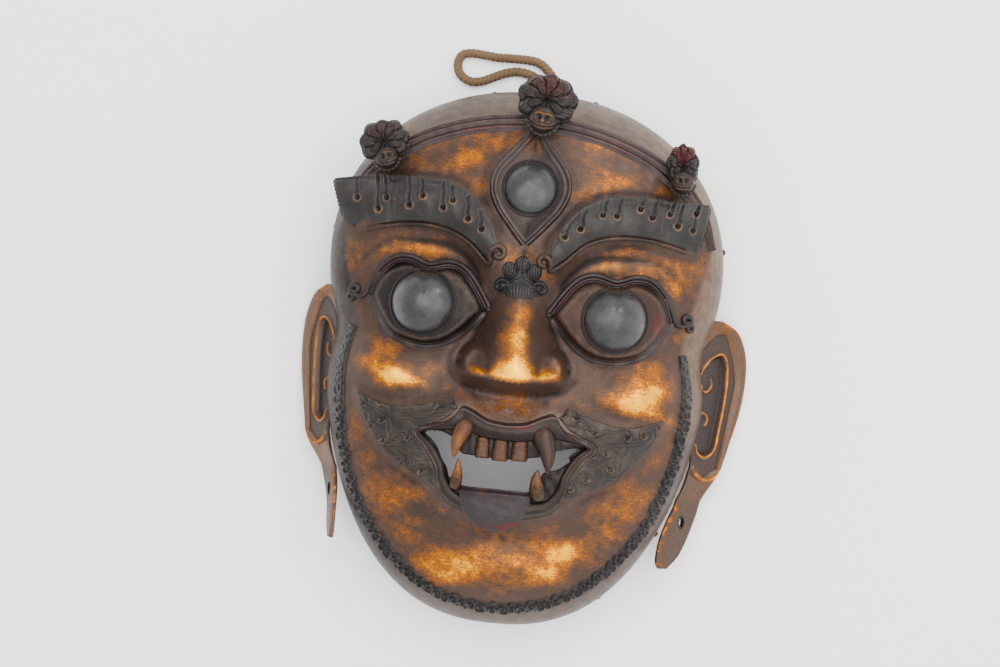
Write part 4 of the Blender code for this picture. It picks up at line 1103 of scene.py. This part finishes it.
GUM_TOP = spline([(-60.5, -56.6), (-53, -55.9), (-46, -55.6), (-39, -58), (-34, -62), (-30, -69), (-22, -70), (-8, -70.6), (6, -70.3), (18, -68.2), (24, -67), (30, -63.6), (38, -61), (46, -59), (52, -59.4), (58, -60)], 5)
GUM_LOW = spline([(-60.5, -56.6), (-52, -61.5), (-45.2, -70), (-42.2, -83), (-34, -88), (-29, -91.5), (-12, -92), (6, -92.4), (18, -92), (24, -88), (27, -79), (31, -76.6), (37.5, -74.2), (44.2, -69.2), (51, -64), (58, -60)], 5)
HALF_ROW = int(np.argmin(np.hypot(MOUTH[:, 0] - 59, MOUTH[:, 1] + 57.5)))
MOUTH_UP = np.vstack([(MOUTH[:HALF_ROW + 1] * (-1, 1))[::-1], MOUTH[1:HALF_ROW + 1]])
MOUTH_DOWN = np.vstack([(MOUTH[HALF_ROW:] * (-1, 1)), MOUTH[HALF_ROW:][::-1][1:]])


def even(line, count):
    run = np.concatenate([[0.0], np.cumsum(np.linalg.norm(np.diff(line, axis=0), axis=1))])
    at = np.linspace(0, run[-1], count)
    return np.stack([np.interp(at, run, line[:, k]) for k in range(2)], 1)


def gum_z(x, y):
    return skin_z(x, y) - 3.4


def gums():
    """Recessed web between the lips and the open gaps that the teeth grow from."""
    bag = Bag()
    for lip_edge, free_edge, upper in ((MOUTH_UP, GUM_TOP, True), (MOUTH_DOWN, GUM_LOW, False)):
        a, b = even(lip_edge, 240), even(free_edge, 240)
        a[:, 0] -= 3.6 * sstep(34, 60, a[:, 0])
        b[:, 0] = np.minimum(b[:, 0], 55.5)
        back = a + (a - b) / np.maximum(np.linalg.norm(a - b, axis=1, keepdims=True), 0.5) * 2.5
        k = np.linspace(0, 1, 16)
        rows = back[:, None, :] * (1 - k[None, :, None]) + b[:, None, :] * k[None, :, None]
        za = gum_z(a[:, 0], a[:, 1])
        z = za[:, None] - 1.6 * k[None, :] ** 2 + 0.25 * waves(rows[..., 0], rows[..., 1], 7, 92)
        face = np.concatenate([rows, z[..., None]], -1)
        edge = face[:, -1:, :].repeat(4, 1)
        edge[..., 2] -= np.array([0.5, 1.2, 2.0, 2.4])[None, :]
        rear = face[:, ::-1, :].copy()[:, ::3, :]
        rear[..., 2] -= 2.6
        p = np.concatenate([face, edge, rear], 1)
        bag.add(p, blend(rgb(44, 38, 36), rgb(28, 25, 25), 0.5 + 0.5 * waves(p[..., 0], p[..., 1], 8, 93)), 0.0, flip=not upper, cavity=0.5)
    put(bag, "gums", CHASED)


def teeth():
    bag = Bag()
    for cx, width, low in ((-15.4, 5.2, -71.2), (-3.0, 5.9, -72.0), (10.2, 6.0, -71.0)):
        u = np.linspace(0, 1, 30)[:, None]
        w = np.linspace(0, 2 * math.pi, 36, endpoint=False)[None, :]
        y = -54.0 + (low + 54.0) * u
        shape = np.sqrt(np.clip(1 - (1 - np.clip(u / 0.32, 0, 1)) ** 2.2, 0.001, 1)) * np.where(u > 0.9, np.sqrt(np.clip(1 - ((u - 0.9) / 0.1) ** 2 * 0.35, 0, 1)), 1)
        half = width * (0.88 + 0.12 * u) * shape
        c, s = np.cos(w), np.sin(w)
        x = cx + half * np.sign(c) * np.abs(c) ** 0.7
        z = float(gum_z(np.array(cx), np.array(-58.0))) - 0.4 + 4.2 * shape * np.sign(s) * np.abs(s) ** 0.8
        p = np.stack([x, y + 0 * w, z], -1)
        # lighter on the front face and darker, with painted shade through extra, on the back: painted light and shade
        bag.add(p, blend(rgb(32, 23, 20), rgb(58, 38, 28), sstep(0.4, 0.9, s) * (0.5 + 0.5 * u)), 0.16, wrap=True, flip=True, cavity=0.6, extra=0.5 * sstep(0.2, -0.3, s * np.ones_like(u)))
        end = np.stack([np.stack([np.full(36, cx), np.full(36, low), np.full(36, float(p[-1, :, 2].mean()))], -1), p[-1]], 0)
        bag.add(end, rgb(64, 46, 37), 0.1, wrap=True, flip=True, cav=0.2 * np.ones((2, 36)))
    put(bag, "front_teeth", HORN)

    bag = Bag()
    for foot, tip, wide, bow, colour, gild in (
        ((-27.0, -47.5, 118), (-34.4, -72.6, 123.0), 6.4, -1.6, rgb(84, 48, 26), 0.40), ((23.2, -48.5, 118), (30.8, -78.2, 123.0), 7.6, 2.6, rgb(48, 37, 32), 0.06),
        ((-32.6, -93, 115), (-31.2, -72.4, 121), 4.4, 1.2, rgb(58, 41, 28), 0.44), ((26.8, -95, 115), (24.0, -74.8, 121), 6.0, -1.6, rgb(50, 38, 29), 0.30),
    ):
        foot, tip = np.array(foot, float), np.array(tip, float)
        k = np.linspace(0, 1, 34)
        path = foot + (tip - foot) * k[:, None]
        path[:, 0] += bow * np.sin(math.pi * k)
        path[:, 2] += 2.2 * np.sin(math.pi * k * 0.8)
        radius = wide * (1 - k ** 1.7) ** 0.85 * np.sqrt(np.clip(1 - (1 - np.clip(k / 0.25, 0, 1)) ** 2 * 0.45, 0, 1)) + 0.12
        ang = np.linspace(0, 2 * math.pi, 28, endpoint=False)
        p = tube(path, radius, 28, 0.8)
        groove = 0.12 * np.sin(ang * 9)[None, :, None] * sstep(0.9, 0.1, k)[:, None, None]
        p[..., 2] += groove[..., 0]
        tint = blend(np.broadcast_to(colour, p.shape), rgb(84, 64, 54), 0.5 * sstep(0.35, 0.0, k)[:, None] * np.ones((1, 28)))
        bag.add(p, tint, gild * sstep(0.1, 0.6, k)[:, None], wrap=True, flip=True, cavity=0.7)
    put(bag, "fangs", HORN)


def tongue():
    bag = Bag()
    u, v = np.meshgrid(np.linspace(-1, 1, 90), np.linspace(0, 1, 80), indexing="ij")
    y = -91.5 - 30.5 * v
    half = 24.5 * np.sqrt(np.clip(1 - (np.clip(v - 0.10, 0, 1) / 0.90) ** 2.0, 0.0, 1))
    x = -3.8 + half * u
    z = 118.5 + 5.0 * np.sqrt(np.clip(1 - u ** 2 * 0.98, 0, 1)) * np.sqrt(np.clip(1 - v ** 4, 0.02, 1)) - 5.0 * v + 0.2 * waves(x, y, 9, 95) - 0.25 * hump(u, 0.03, 0.12) * sstep(1, 0.5, v)
    z -= 3.0 * sstep(0.12, 0.0, v)
    tint = blend(rgb(48, 45, 46), rgb(26, 20, 21), sstep(0.30, 0.0, v))
    red = 0.22 * sstep(0.45, 0.15, v) * sstep(-0.6, 0.9, waves(x, y, 8, 96)) + 0.42 * sstep(0.62, 1.0, v + 0.25 * u ** 2) * sstep(-0.9, 0.7, waves(x, y, 7, 97)) + 0.25 * sstep(0.7, 1, u) * sstep(-0.8, 0.6, waves(x, y, 6, 98))
    bag.add(np.stack([x, y, z], -1), tint, 0.0, np.clip(red, 0, 1), flip=True, cavity=0.4)
    under = np.stack([x, y, np.minimum(z - 2.0, 116.0 - 4.0 * v)], -1)
    bag.add(under, rgb(70, 60, 56), 0.0, flip=False, cavity=0.4)
    rim = np.concatenate([np.stack([x, y, z], -1)[0, :, :], np.stack([x, y, z], -1)[:, -1, :], np.stack([x, y, z], -1)[-1, ::-1, :], np.stack([x, y, z], -1)[::-1, 0, :]])
    rim2 = np.concatenate([under[0, :, :], under[:, -1, :], under[-1, ::-1, :], under[::-1, 0, :]])
    bag.add(np.stack([rim, rim2], 1), rgb(76, 66, 64), 0.0, cav=np.zeros((len(rim), 2)))
    put(bag, "tongue", CHASED)


lips()
gums()
teeth()
tongue()


# ---- eye domes ----
def dome_material():
    s = Shade("silvered_dome")
    tint = s.attr("tint", True)
    broad, mid, fine = s.noise(13, 4, 0.6, 2.0), s.noise(4, 4, 0.6, 5.0), s.noise(1.2, 3, 0.6, 9.0)
    colour = s.mix(s.calc("MULTIPLY", broad, 0.75), tint, rgb(39, 39, 38))
    colour = s.mix(s.calc("MULTIPLY", s.span(mid, 0.5, 0.95), 0.6), colour, rgb(18, 21, 27))
    colour = s.mix(s.calc("MULTIPLY", fine, 0.3), colour, rgb(60, 58, 54))
    rough = s.span(mid, 0.0, 1.0, 0.26, 0.42)
    return s.finish(colour, rough, 0.1, s.calc("ADD", mid, s.calc("MULTIPLY", fine, 0.3)), 0.22, 0.0003, 0.42)


DOME = dome_material()


def dome(name, cx, cy, r, seed):
    bag = Bag()
    base = float(skin_z(np.array(cx), np.array(cy)))
    u = np.linspace(0.004, 1, 46)[:, None]
    w = np.linspace(0, 2 * math.pi, 120, endpoint=False)[None, :]
    x, y = cx + r * u * np.cos(w), cy + r * u * np.sin(w)
    edge = on_skin(cx + r * np.cos(w), cy + r * np.sin(w), np.zeros_like(w))[..., 2]
    rise = np.sqrt(np.clip(1 - (u * 0.94) ** 2, 0, 1)) - math.sqrt(1 - 0.94 ** 2)
    top = base - 5.0 + 0.72 * r
    z = edge * u ** 2 + (base - 1.0) * (1 - u ** 2) + rise * (top - base + 1.0) / (1 - math.sqrt(1 - 0.94 ** 2)) - 1.6 * sstep(0.965, 1.0, u)
    tint = blend(rgb(34, 34, 34), rgb(17, 19, 24), sstep(-0.5, 0.8, waves(x, y, 9, seed)))
    tint = blend(tint, rgb(14, 15, 18), 0.8 * sstep(0.86, 0.97, u) * np.ones_like(x))
    bag.add(np.stack([x, y, z], -1), tint, 0.0, wrap=True, cavity=0.6)
    obj = put(bag, name, DOME, (name,))
    ring = Bag()
    n = 140
    ang = np.linspace(0, 2 * math.pi, n + 1)
    lip = on_skin(cx + (r + 1.0) * np.cos(ang), cy + (r + 1.0) * np.sin(ang), np.full(n + 1, 0.0))
    ring.add(tube(lip, 0.9, 12), rgb(26, 25, 25), 0.0, wrap=True, flip=True, cav=0.1 * np.ones((n + 1, 12)))
    put(ring, name + "_collar", CHASED)
    return obj


dome("eye_dome_left", -EYE[0], EYE[1], DOME_R, 101)
dome("eye_dome_right", EYE[0], EYE[1], DOME_R, 102)
dome("eye_dome_third", *THIRD_EYE, THIRD_R, 103)


# ---- ears ----
EAR_TOP, EAR_FOOT = 39.5, -142.0
OUT = np.array([(39.5, 17), (31, 34), (10, 43.4), (-22, 42), (-61, 30.5), (-84.5, 24), (-106, 19), (-130, 8.5), (-142, -4)])
IN = np.array([(39.5, 7), (28, 1.0), (-60, 0.0), (-90, 0.5), (-108, -7), (-122, -12.5), (-136, -14), (-142, -11)])
EAR_SET = {"ear_left": (-1, 38.0, 52.0, 24.0), "ear_right": (1, 32.0, 38.0, 3.0)}
OUT_FINE, IN_FINE = spline(OUT, 12), spline(IN, 12)
EAR_RIM = spline([(-4, 10), (6.3, 23.2), (17, 30.3), (24.5, 27.5), (31.8, 11.3), (35.5, -3.5), (33.5, -21.3), (30.7, -39.1), (27.7, -54.4), (25, -67)], 8)
EAR_RIM_RING = np.vstack([EAR_RIM, [(12, -77), (-8, -70)]])
EAR_RIDGE = spline([(1, 0), (4, 5.3), (11, 12.3), (20.5, 15.5), (25.4, 9.6), (27.1, -4.1), (26, -21.8), (23.3, -39.5), (20.6, -53.4), (12.7, -59.9), (5, -56.8), (2.5, -51)], 8)
EAR_RIDGE_RING = np.vstack([EAR_RIDGE, [(-6, -46), (-6, 0)]])
EAR_CRESCENT = spline([(2.3, -67.5), (8.3, -73), (17.4, -76.4), (24.2, -73.6), (26.5, -68.5)], 8)
EAR_CURLS = (spline([(14.5, -3.0), (15.2, -8.0), (11.2, -12.4), (6.5, -11.2), (5.5, -8.0)], 8), spline([(7.0, -27.6), (11.5, -28.4), (14.2, -32.0), (12.4, -36.8)], 8))


def side_wall(y):
    y = np.asarray(y, float)
    up = np.clip((y - WIDEST_Y) / CROWN, 0, 1)
    down = np.clip((WIDEST_Y - y) / JAW, 0, 1)
    w = HALF_WIDTH * np.where(y > WIDEST_Y, (1 - up ** CROWN_EXP) ** (1 / CROWN_EXP), (1 - down ** JAW_EXP) ** (1 / JAW_EXP))
    return w * (1 - WAIST * np.exp(-(((y - WAIST_Y) / WAIST_LEN) ** 2)))


def ear(name, side, z0, tilt, twist):
    nu, nv = 74, 230
    k = np.linspace(0, 1, nv)
    across = 0.5 - 0.5 * np.cos(math.pi * np.linspace(0, 1, nu))[:, None]
    y = (EAR_TOP + (EAR_FOOT - EAR_TOP) * (0.5 - 0.5 * np.cos(math.pi * (0.08 + 0.84 * k)) - (0.5 - 0.5 * math.cos(math.pi * 0.08))) / (math.cos(math.pi * 0.08)))[None, :]
    a_out = np.interp(-y, -OUT_FINE[:, 0], OUT_FINE[:, 1])
    a_in = np.interp(-y, -IN_FINE[:, 0], IN_FINE[:, 1])
    a = a_in + (a_out - a_in) * across
    yy = np.broadcast_to(y, a.shape)
    d_out = near(a, yy, OUT_FINE[:, ::-1])[0]
    body = sstep(-88, -76, yy)
    lobe = 1 - sstep(-98, -86, yy)
    d_rim, _, _ = near(a, yy, EAR_RIM)
    d_ridge, k_ridge, _ = near(a, yy, EAR_RIDGE)
    d_cres, k_cres, _ = near(a, yy, EAR_CRESCENT)
    hollow = sstep(-0.8, 0.8, depth_in(a, yy, EAR_RIM_RING)) * body
    concha = sstep(0.3, 3.0, depth_in(a, yy, EAR_RIDGE_RING)) * body
    h = 1.9 * (1 - hollow) * body * (0.5 + 0.5 * hump(d_out, 3.6, 3.0)) - 0.7 * hump(d_rim, 0.8, 0.8) * body
    h = h + 1.6 * hump(d_ridge, 0, 1.5) * (0.5 + 0.5 * body) - 3.2 * concha
    h = h + 1.7 * hump(d_cres, 0, 1.7) * np.sin(math.pi * np.clip(k_cres, 0.06, 0.94))
    gold = np.maximum.reduce([0.85 * hump(d_out, 1.0, 1.3) * body, 0.35 * hump(d_rim, -0.3, 1.2) * body, 0.85 * hump(d_ridge, 0, 0.9), 1.0 * hump(d_cres, 0, 1.4), 0.30 * sstep(18, 30, yy) * (1 - hollow)])
    for line in EAR_CURLS:
        d, k_line, _ = near(a, yy, line)
        h = h + 2.0 * hump(d, 0, 1.1)
        gold = np.maximum(gold, 0.75 * hump(d, 0, 0.8))
    inner_d = near(a, yy, IN_FINE[:, ::-1])[0]
    gold = np.maximum(gold, 0.85 * hump(inner_d, 0.8, 3.0) * lobe * sstep(-1.2, 0.6, waves(a, yy, 5, 111)))
    h = h + 1.0 * (1 - np.clip(np.abs(across - 0.5) * 2, 0, 1) ** 3) * lobe
    gold = gold * (0.85 + 0.25 * waves(a, yy, 9, 112))
    low = sstep(-70, -125, y)
    phi = np.radians(tilt + twist * low)
    root = np.minimum(131.5, side_wall(np.maximum(y, -92)) + 2.4)
    rim = np.exp(-(((across - 0.93) / 0.10) ** 2)) * 2.2
    bowl = -3.2 * np.exp(-(((across - 0.45) / 0.28) ** 2) - (yy / 42.0) ** 2)
    base = rim * 0.3 + bowl * 0.3
    edge = np.clip(np.minimum(across, 1 - across) / 0.035, 0, 1)
    ends = np.clip(np.minimum(k, 1 - k)[None, :] / 0.012, 0, 1)
    roll = 1.3 * (1 - np.sqrt(np.clip(1 - (1 - np.minimum(edge, ends)) ** 2, 0, 1)))

    def point(d):
        x = root + a * np.cos(phi) + d * np.sin(phi)
        z = z0 - a * np.sin(phi) + d * np.cos(phi)
        return np.stack([side * x, yy, z], -1)

    sy, sa = -108.0, float(0.5 * (np.interp(108.0, -OUT[:, 0], OUT[:, 1]) + np.interp(108.0, -IN[:, 0], IN[:, 1])))
    slot = np.hypot((a - sa) / 2.5, (yy - sy) / 4.2)
    keep = slot > 1.0
    groove = hollow * (1 - concha)
    front, back = point(base + h - roll), point(base + 0.35 * h - 2.6 + roll)
    # left and right ears are the same metal given different tints, the left lighter: painted light
    tint = blend(rgb(110, 86, 70) if side < 0 else rgb(88, 67, 53), rgb(60, 50, 45), groove)
    tint = blend(tint, rgb(52, 46, 46), concha)
    tint = blend(tint, rgb(72, 60, 53), 0.8 * lobe)
    bag = Bag()
    # extra darkens the rim of the hole in the lobe: painted shade
    bag.add(front, tint, np.clip(0.04 + 0.95 * gold, 0, 1), keep=keep, flip=side > 0, cavity=0.6, extra=0.5 * hump(slot, 1.0, 0.35))
    bag.add(back, rgb(96, 84, 74), 0.08, keep=keep, flip=side < 0, cavity=0.5)
    ang = np.linspace(0, 2 * math.pi, 29)
    ring_a, ring_y = sa + 2.75 * np.cos(ang), sy + 4.6 * np.sin(ang)
    low_r = sstep(-70, -125, ring_y)
    phi_r = np.radians(tilt + twist * low_r)
    root_r = np.minimum(131.5, side_wall(np.maximum(ring_y, -92)) + 2.4)
    walls = []
    for d in (1.4, -0.5, -2.4):
        walls.append(np.stack([side * (root_r + ring_a * np.cos(phi_r) + d * np.sin(phi_r)), ring_y, z0 - ring_a * np.sin(phi_r) + d * np.cos(phi_r)], -1))
    bag.add(np.stack(walls, 1), rgb(60, 50, 44), 0.0, flip=side > 0, cav=np.full((29, 3), 0.3))
    put(bag, name, SKIN, (name,))


for ear_name, ear_set in EAR_SET.items():
    ear(ear_name, *ear_set)


# ---- skull ornaments ----
def skull(name, cx, cy, size, lift, lean, roll, red_amount, gold_amount, wide=1.0):
    bag = Bag()
    zb = float(skin_z(np.array(cx * 0.95), np.array(cy * 0.95))) + lift * size
    # face ball
    nu, nv = 70, 96
    lat = np.linspace(0.01, math.pi - 0.01, nu)[:, None]
    lon = np.linspace(0, 2 * math.pi, nv, endpoint=False)[None, :]
    dx, dy, dz = np.sin(lat) * np.cos(lon), np.sin(lat) * np.sin(lon), np.cos(lat) * np.ones_like(lon)
    r = np.ones((nu, nv))
    front = sstep(0.1, 0.6, dz)
    r -= 0.16 * front * (bell(dx, dy, -0.32, 0.12, 0.2, 0.17) + bell(dx, dy, 0.32, 0.12, 0.2, 0.17))
    r += 0.05 * front * (np.exp(-(((np.hypot(np.abs(dx) - 0.32, dy - 0.12) - 0.27) / 0.07) ** 2)))
    r += 0.12 * front * bell(dx, dy, 0, -0.12, 0.09, 0.16) + 0.06 * front * np.exp(-(((dy - 0.42 + 0.25 * dx ** 2) / 0.07) ** 2)) * (np.abs(dx) < 0.6)
    mouth = np.exp(-(((dy + 0.50 - 0.35 * dx ** 2) / 0.07) ** 2)) * (np.abs(dx) < 0.55)
    r += front * (0.06 * np.exp(-(((dy + 0.38 - 0.3 * dx ** 2) / 0.06) ** 2)) - 0.09 * mouth + 0.05 * np.exp(-(((dy + 0.62 - 0.3 * dx ** 2) / 0.06) ** 2)))
    r += 0.03 * front * mouth * np.cos(dx * 26)
    p = np.stack([dx * 9.8 * r, dy * 10.4 * r, dz * 9.5 * r], -1) * size
    turn = Matrix.Rotation(math.radians(roll), 3, "Z") @ Matrix.Rotation(math.radians(lean * -0.6), 3, "X")
    down = Matrix.Rotation(math.radians(roll), 3, "Z") @ Vector((0.0, -8.5 * size, 0.0))
    p = p @ np.array(turn).T + np.array([cx + down.x, cy + down.y, zb + 1.5 * size])
    gold = gold_amount * np.clip(sstep(1.0, 1.07, r), 0, 1)
    # darker in the sockets and mouth: painted shade; gold on the raised rims
    bag.add(p, blend(rgb(44, 37, 34), rgb(20, 18, 17), sstep(1.0, 0.9, r)), np.clip(0.45 * gold, 0, 1), wrap=True, cavity=0.6)
    # one swelling crest of scaled petals, red round the middle
    nu, nv = 90, 200
    u = np.linspace(0.0, 1, nu)[:, None]
    w = np.linspace(0, 2 * math.pi, nv, endpoint=False)[None, :]
    side_lobe = 19.3 + 1.5 * np.cos(2 * w) + 0.7 * np.cos(9 * (w - math.pi / 2)) + 0.4 * np.cos(5 * w + cx)
    rr = side_lobe * np.sin(u * math.pi * 0.62) / math.sin(math.pi * 0.5) * size
    away = np.mod(w - math.pi / 2 + math.pi, 2 * math.pi) - math.pi
    petal = away / math.radians(40) + 0.12 * np.sin(3 * u * math.pi + cx)
    f = petal - np.round(petal)
    row = u * 3.4 + 1.1 * f ** 2 + 0.45 * (np.mod(np.round(petal), 2)) + 0.2
    g = row - np.floor(row)
    relief_up = 1.7 * np.sin(math.pi * g) ** 0.7 - 1.6 * sstep(0.34, 0.5, np.abs(f)) + 0.35 * np.cos(2 * math.pi * (f * 5 + 0.3 * g)) * sstep(0.5, 0.3, np.abs(f))
    crown = 15.5 * np.cos(u * math.pi * 0.5) ** 0.8
    q = np.stack([rr * np.cos(w) * wide, rr * np.sin(w) + 4.5 * size, (crown + 0.95 * relief_up) * size * np.ones_like(w)], -1)
    q[..., 0] += 0.35 * relief_up * np.cos(w) * u * size
    q[..., 1] += 0.35 * relief_up * np.sin(w) * u * size
    q = q @ np.array(Matrix.Rotation(math.radians(roll), 3, "Z")).T + np.array([cx, cy, zb - 8.0 * size])
    mid_red = sstep(2.1, 0.9, np.abs(petal)) * sstep(1.02, 0.80, u)
    bag.add(q, blend(rgb(38, 36, 35), rgb(56, 34, 33), red_amount * mid_red), 0.0, 0.55 * red_amount * mid_red * (0.25 + 0.75 * sstep(0.3, 0.7, g)), wrap=True, cavity=0.6, blur=3)
    # foot behind the ornament, seated on the band
    foot = blob((cx, cy + 2 * size, zb - 12 * size), (14.5 * size * wide, 13.5 * size, 13 * size), 0.0, 24, 40)
    bag.add(foot, rgb(52, 48, 46), 0.0, wrap=True, cavity=0.5)
    # beaded collar below the face
    for k in range(9):
        ang = math.radians(198 + roll + k * 18)
        bead = (cx + down.x + 10.2 * size * math.cos(ang), cy + down.y + 10.8 * size * math.sin(ang), zb - 3.0 * size)
        bag.add(blob(bead, (2.2 * size, 2.2 * size, 2.0 * size), None, 10, 14), rgb(40, 38, 38), 0.0, wrap=True, cavity=0.4)
    put(bag, name, CHASED, (name,))


skull("skull_centre", 5.0, 176.0, 1.0, 17.0, -18, -7, 0.5, 0.8)
skull("skull_left", -105.0, 138.5, 0.84, 14.0, -12, 14, 0.28, 0.35)
skull("skull_right", 104.5, 140.5, 0.84, 14.0, -12, 4, 0.85, 0.45, 0.64)

# ---- rivet heads round the back edge ----
STUDS = ((-35, 186), (38, 186), (-141, 82), (141, 90), (-114, -123), (114.5, -123), (-66, -172), (74, -169), (-1.5, -192))


def stud(index, x, y):
    theta = math.atan2(y, x)
    r = float(np.interp(theta, THETA, EDGE))
    t2 = theta + 0.01
    r2 = float(np.interp(t2, THETA, EDGE))
    dx, dy = r2 * math.cos(t2) - r * math.cos(theta), r2 * math.sin(t2) - r * math.sin(theta)
    out = math.atan2(-dx, dy)
    wx = r * math.cos(theta) * float(pull_in(np.array(r * math.sin(theta)), np.array(1.0)))
    u = np.linspace(0, 1, 16)[:, None]
    w = np.linspace(0, 2 * math.pi, 22, endpoint=False)[None, :]
    reach_out = 3.1 * np.sin(u * math.pi / 2) ** 0.9
    rad = 2.45 * np.cos(u * math.pi / 2) ** 0.75 + 0.03 + 0.05 * np.cos(3 * w)
    local = np.stack([reach_out * np.ones_like(w) - 0.1, rad * np.cos(w), rad * np.sin(w)], -1)
    c, s = math.cos(out), math.sin(out)
    p = np.stack([wx + 0.2 * c + local[..., 0] * c - local[..., 1] * s, r * math.sin(theta) + 0.2 * s + local[..., 0] * s + local[..., 1] * c, 9.0 + local[..., 2]], -1)
    bag = Bag()
    bag.add(p, rgb(72, 62, 54), 0.1, wrap=True, cavity=0.4)
    name = "rim_stud_%d" % index
    put(bag, name, CHASED, (name,))


for number, (sx, sy) in enumerate(STUDS):
    stud(number + 1, sx, sy)


# ---- floor, light ----
def stage():
    bpy.ops.mesh.primitive_plane_add(size=8.0, location=(0, 0, -0.0002))
    floor = bpy.context.object
    floor.name = "floor"
    s = Shade("pale_floor")
    n = s.noise(90, 2, 0.5)
    s.finish(s.mix(s.calc("MULTIPLY", n, 0.3), (0.94, 0.94, 0.94), (0.925, 0.925, 0.93)), 0.9, 0.0)
    floor.data.materials.append(s.m)
    world = bpy.data.worlds.new("studio")
    world.use_nodes = True
    world.node_tree.nodes["Background"].inputs["Color"].default_value = (1.0, 1.0, 1.0, 1)
    tree = world.node_tree
    split = tree.nodes.new("ShaderNodeSeparateXYZ")
    tree.links.new(tree.nodes.new("ShaderNodeTexCoord").outputs["Generated"], split.inputs[0])
    across = tree.nodes.new("ShaderNodeMapRange")
    for socket, value in zip(across.inputs[1:5], (-1.0, 1.0, 1.45, 2.65)):
        socket.default_value = value
    tree.links.new(split.outputs["X"], across.inputs[0])
    tree.links.new(across.outputs["Result"], tree.nodes["Background"].inputs["Strength"])
    bpy.context.scene.world = world

    def area(name, place, aim, size, power):
        data = bpy.data.lights.new(name, "AREA")
        data.shape = "RECTANGLE"
        data.size, data.size_y = size
        data.energy = power
        obj = bpy.data.objects.new(name, data)
        bpy.context.scene.collection.objects.link(obj)
        obj.location = place
        obj.rotation_euler = (Vector(aim) - Vector(place)).to_track_quat("-Z", "Y").to_euler()

    area("overhead_softbox", (0.25, 0.45, 2.6), (0, 0, 0.05), (3.0, 2.6), 95)
    area("small_window", (0.62, 1.30, 1.15), (0, 0, 0.08), (0.36, 0.36), 9)
    area("light_under_mask", (-0.005, -0.060, 0.080), (-0.005, -0.055, 0.0), (0.10, 0.07), 0.010)


stage()
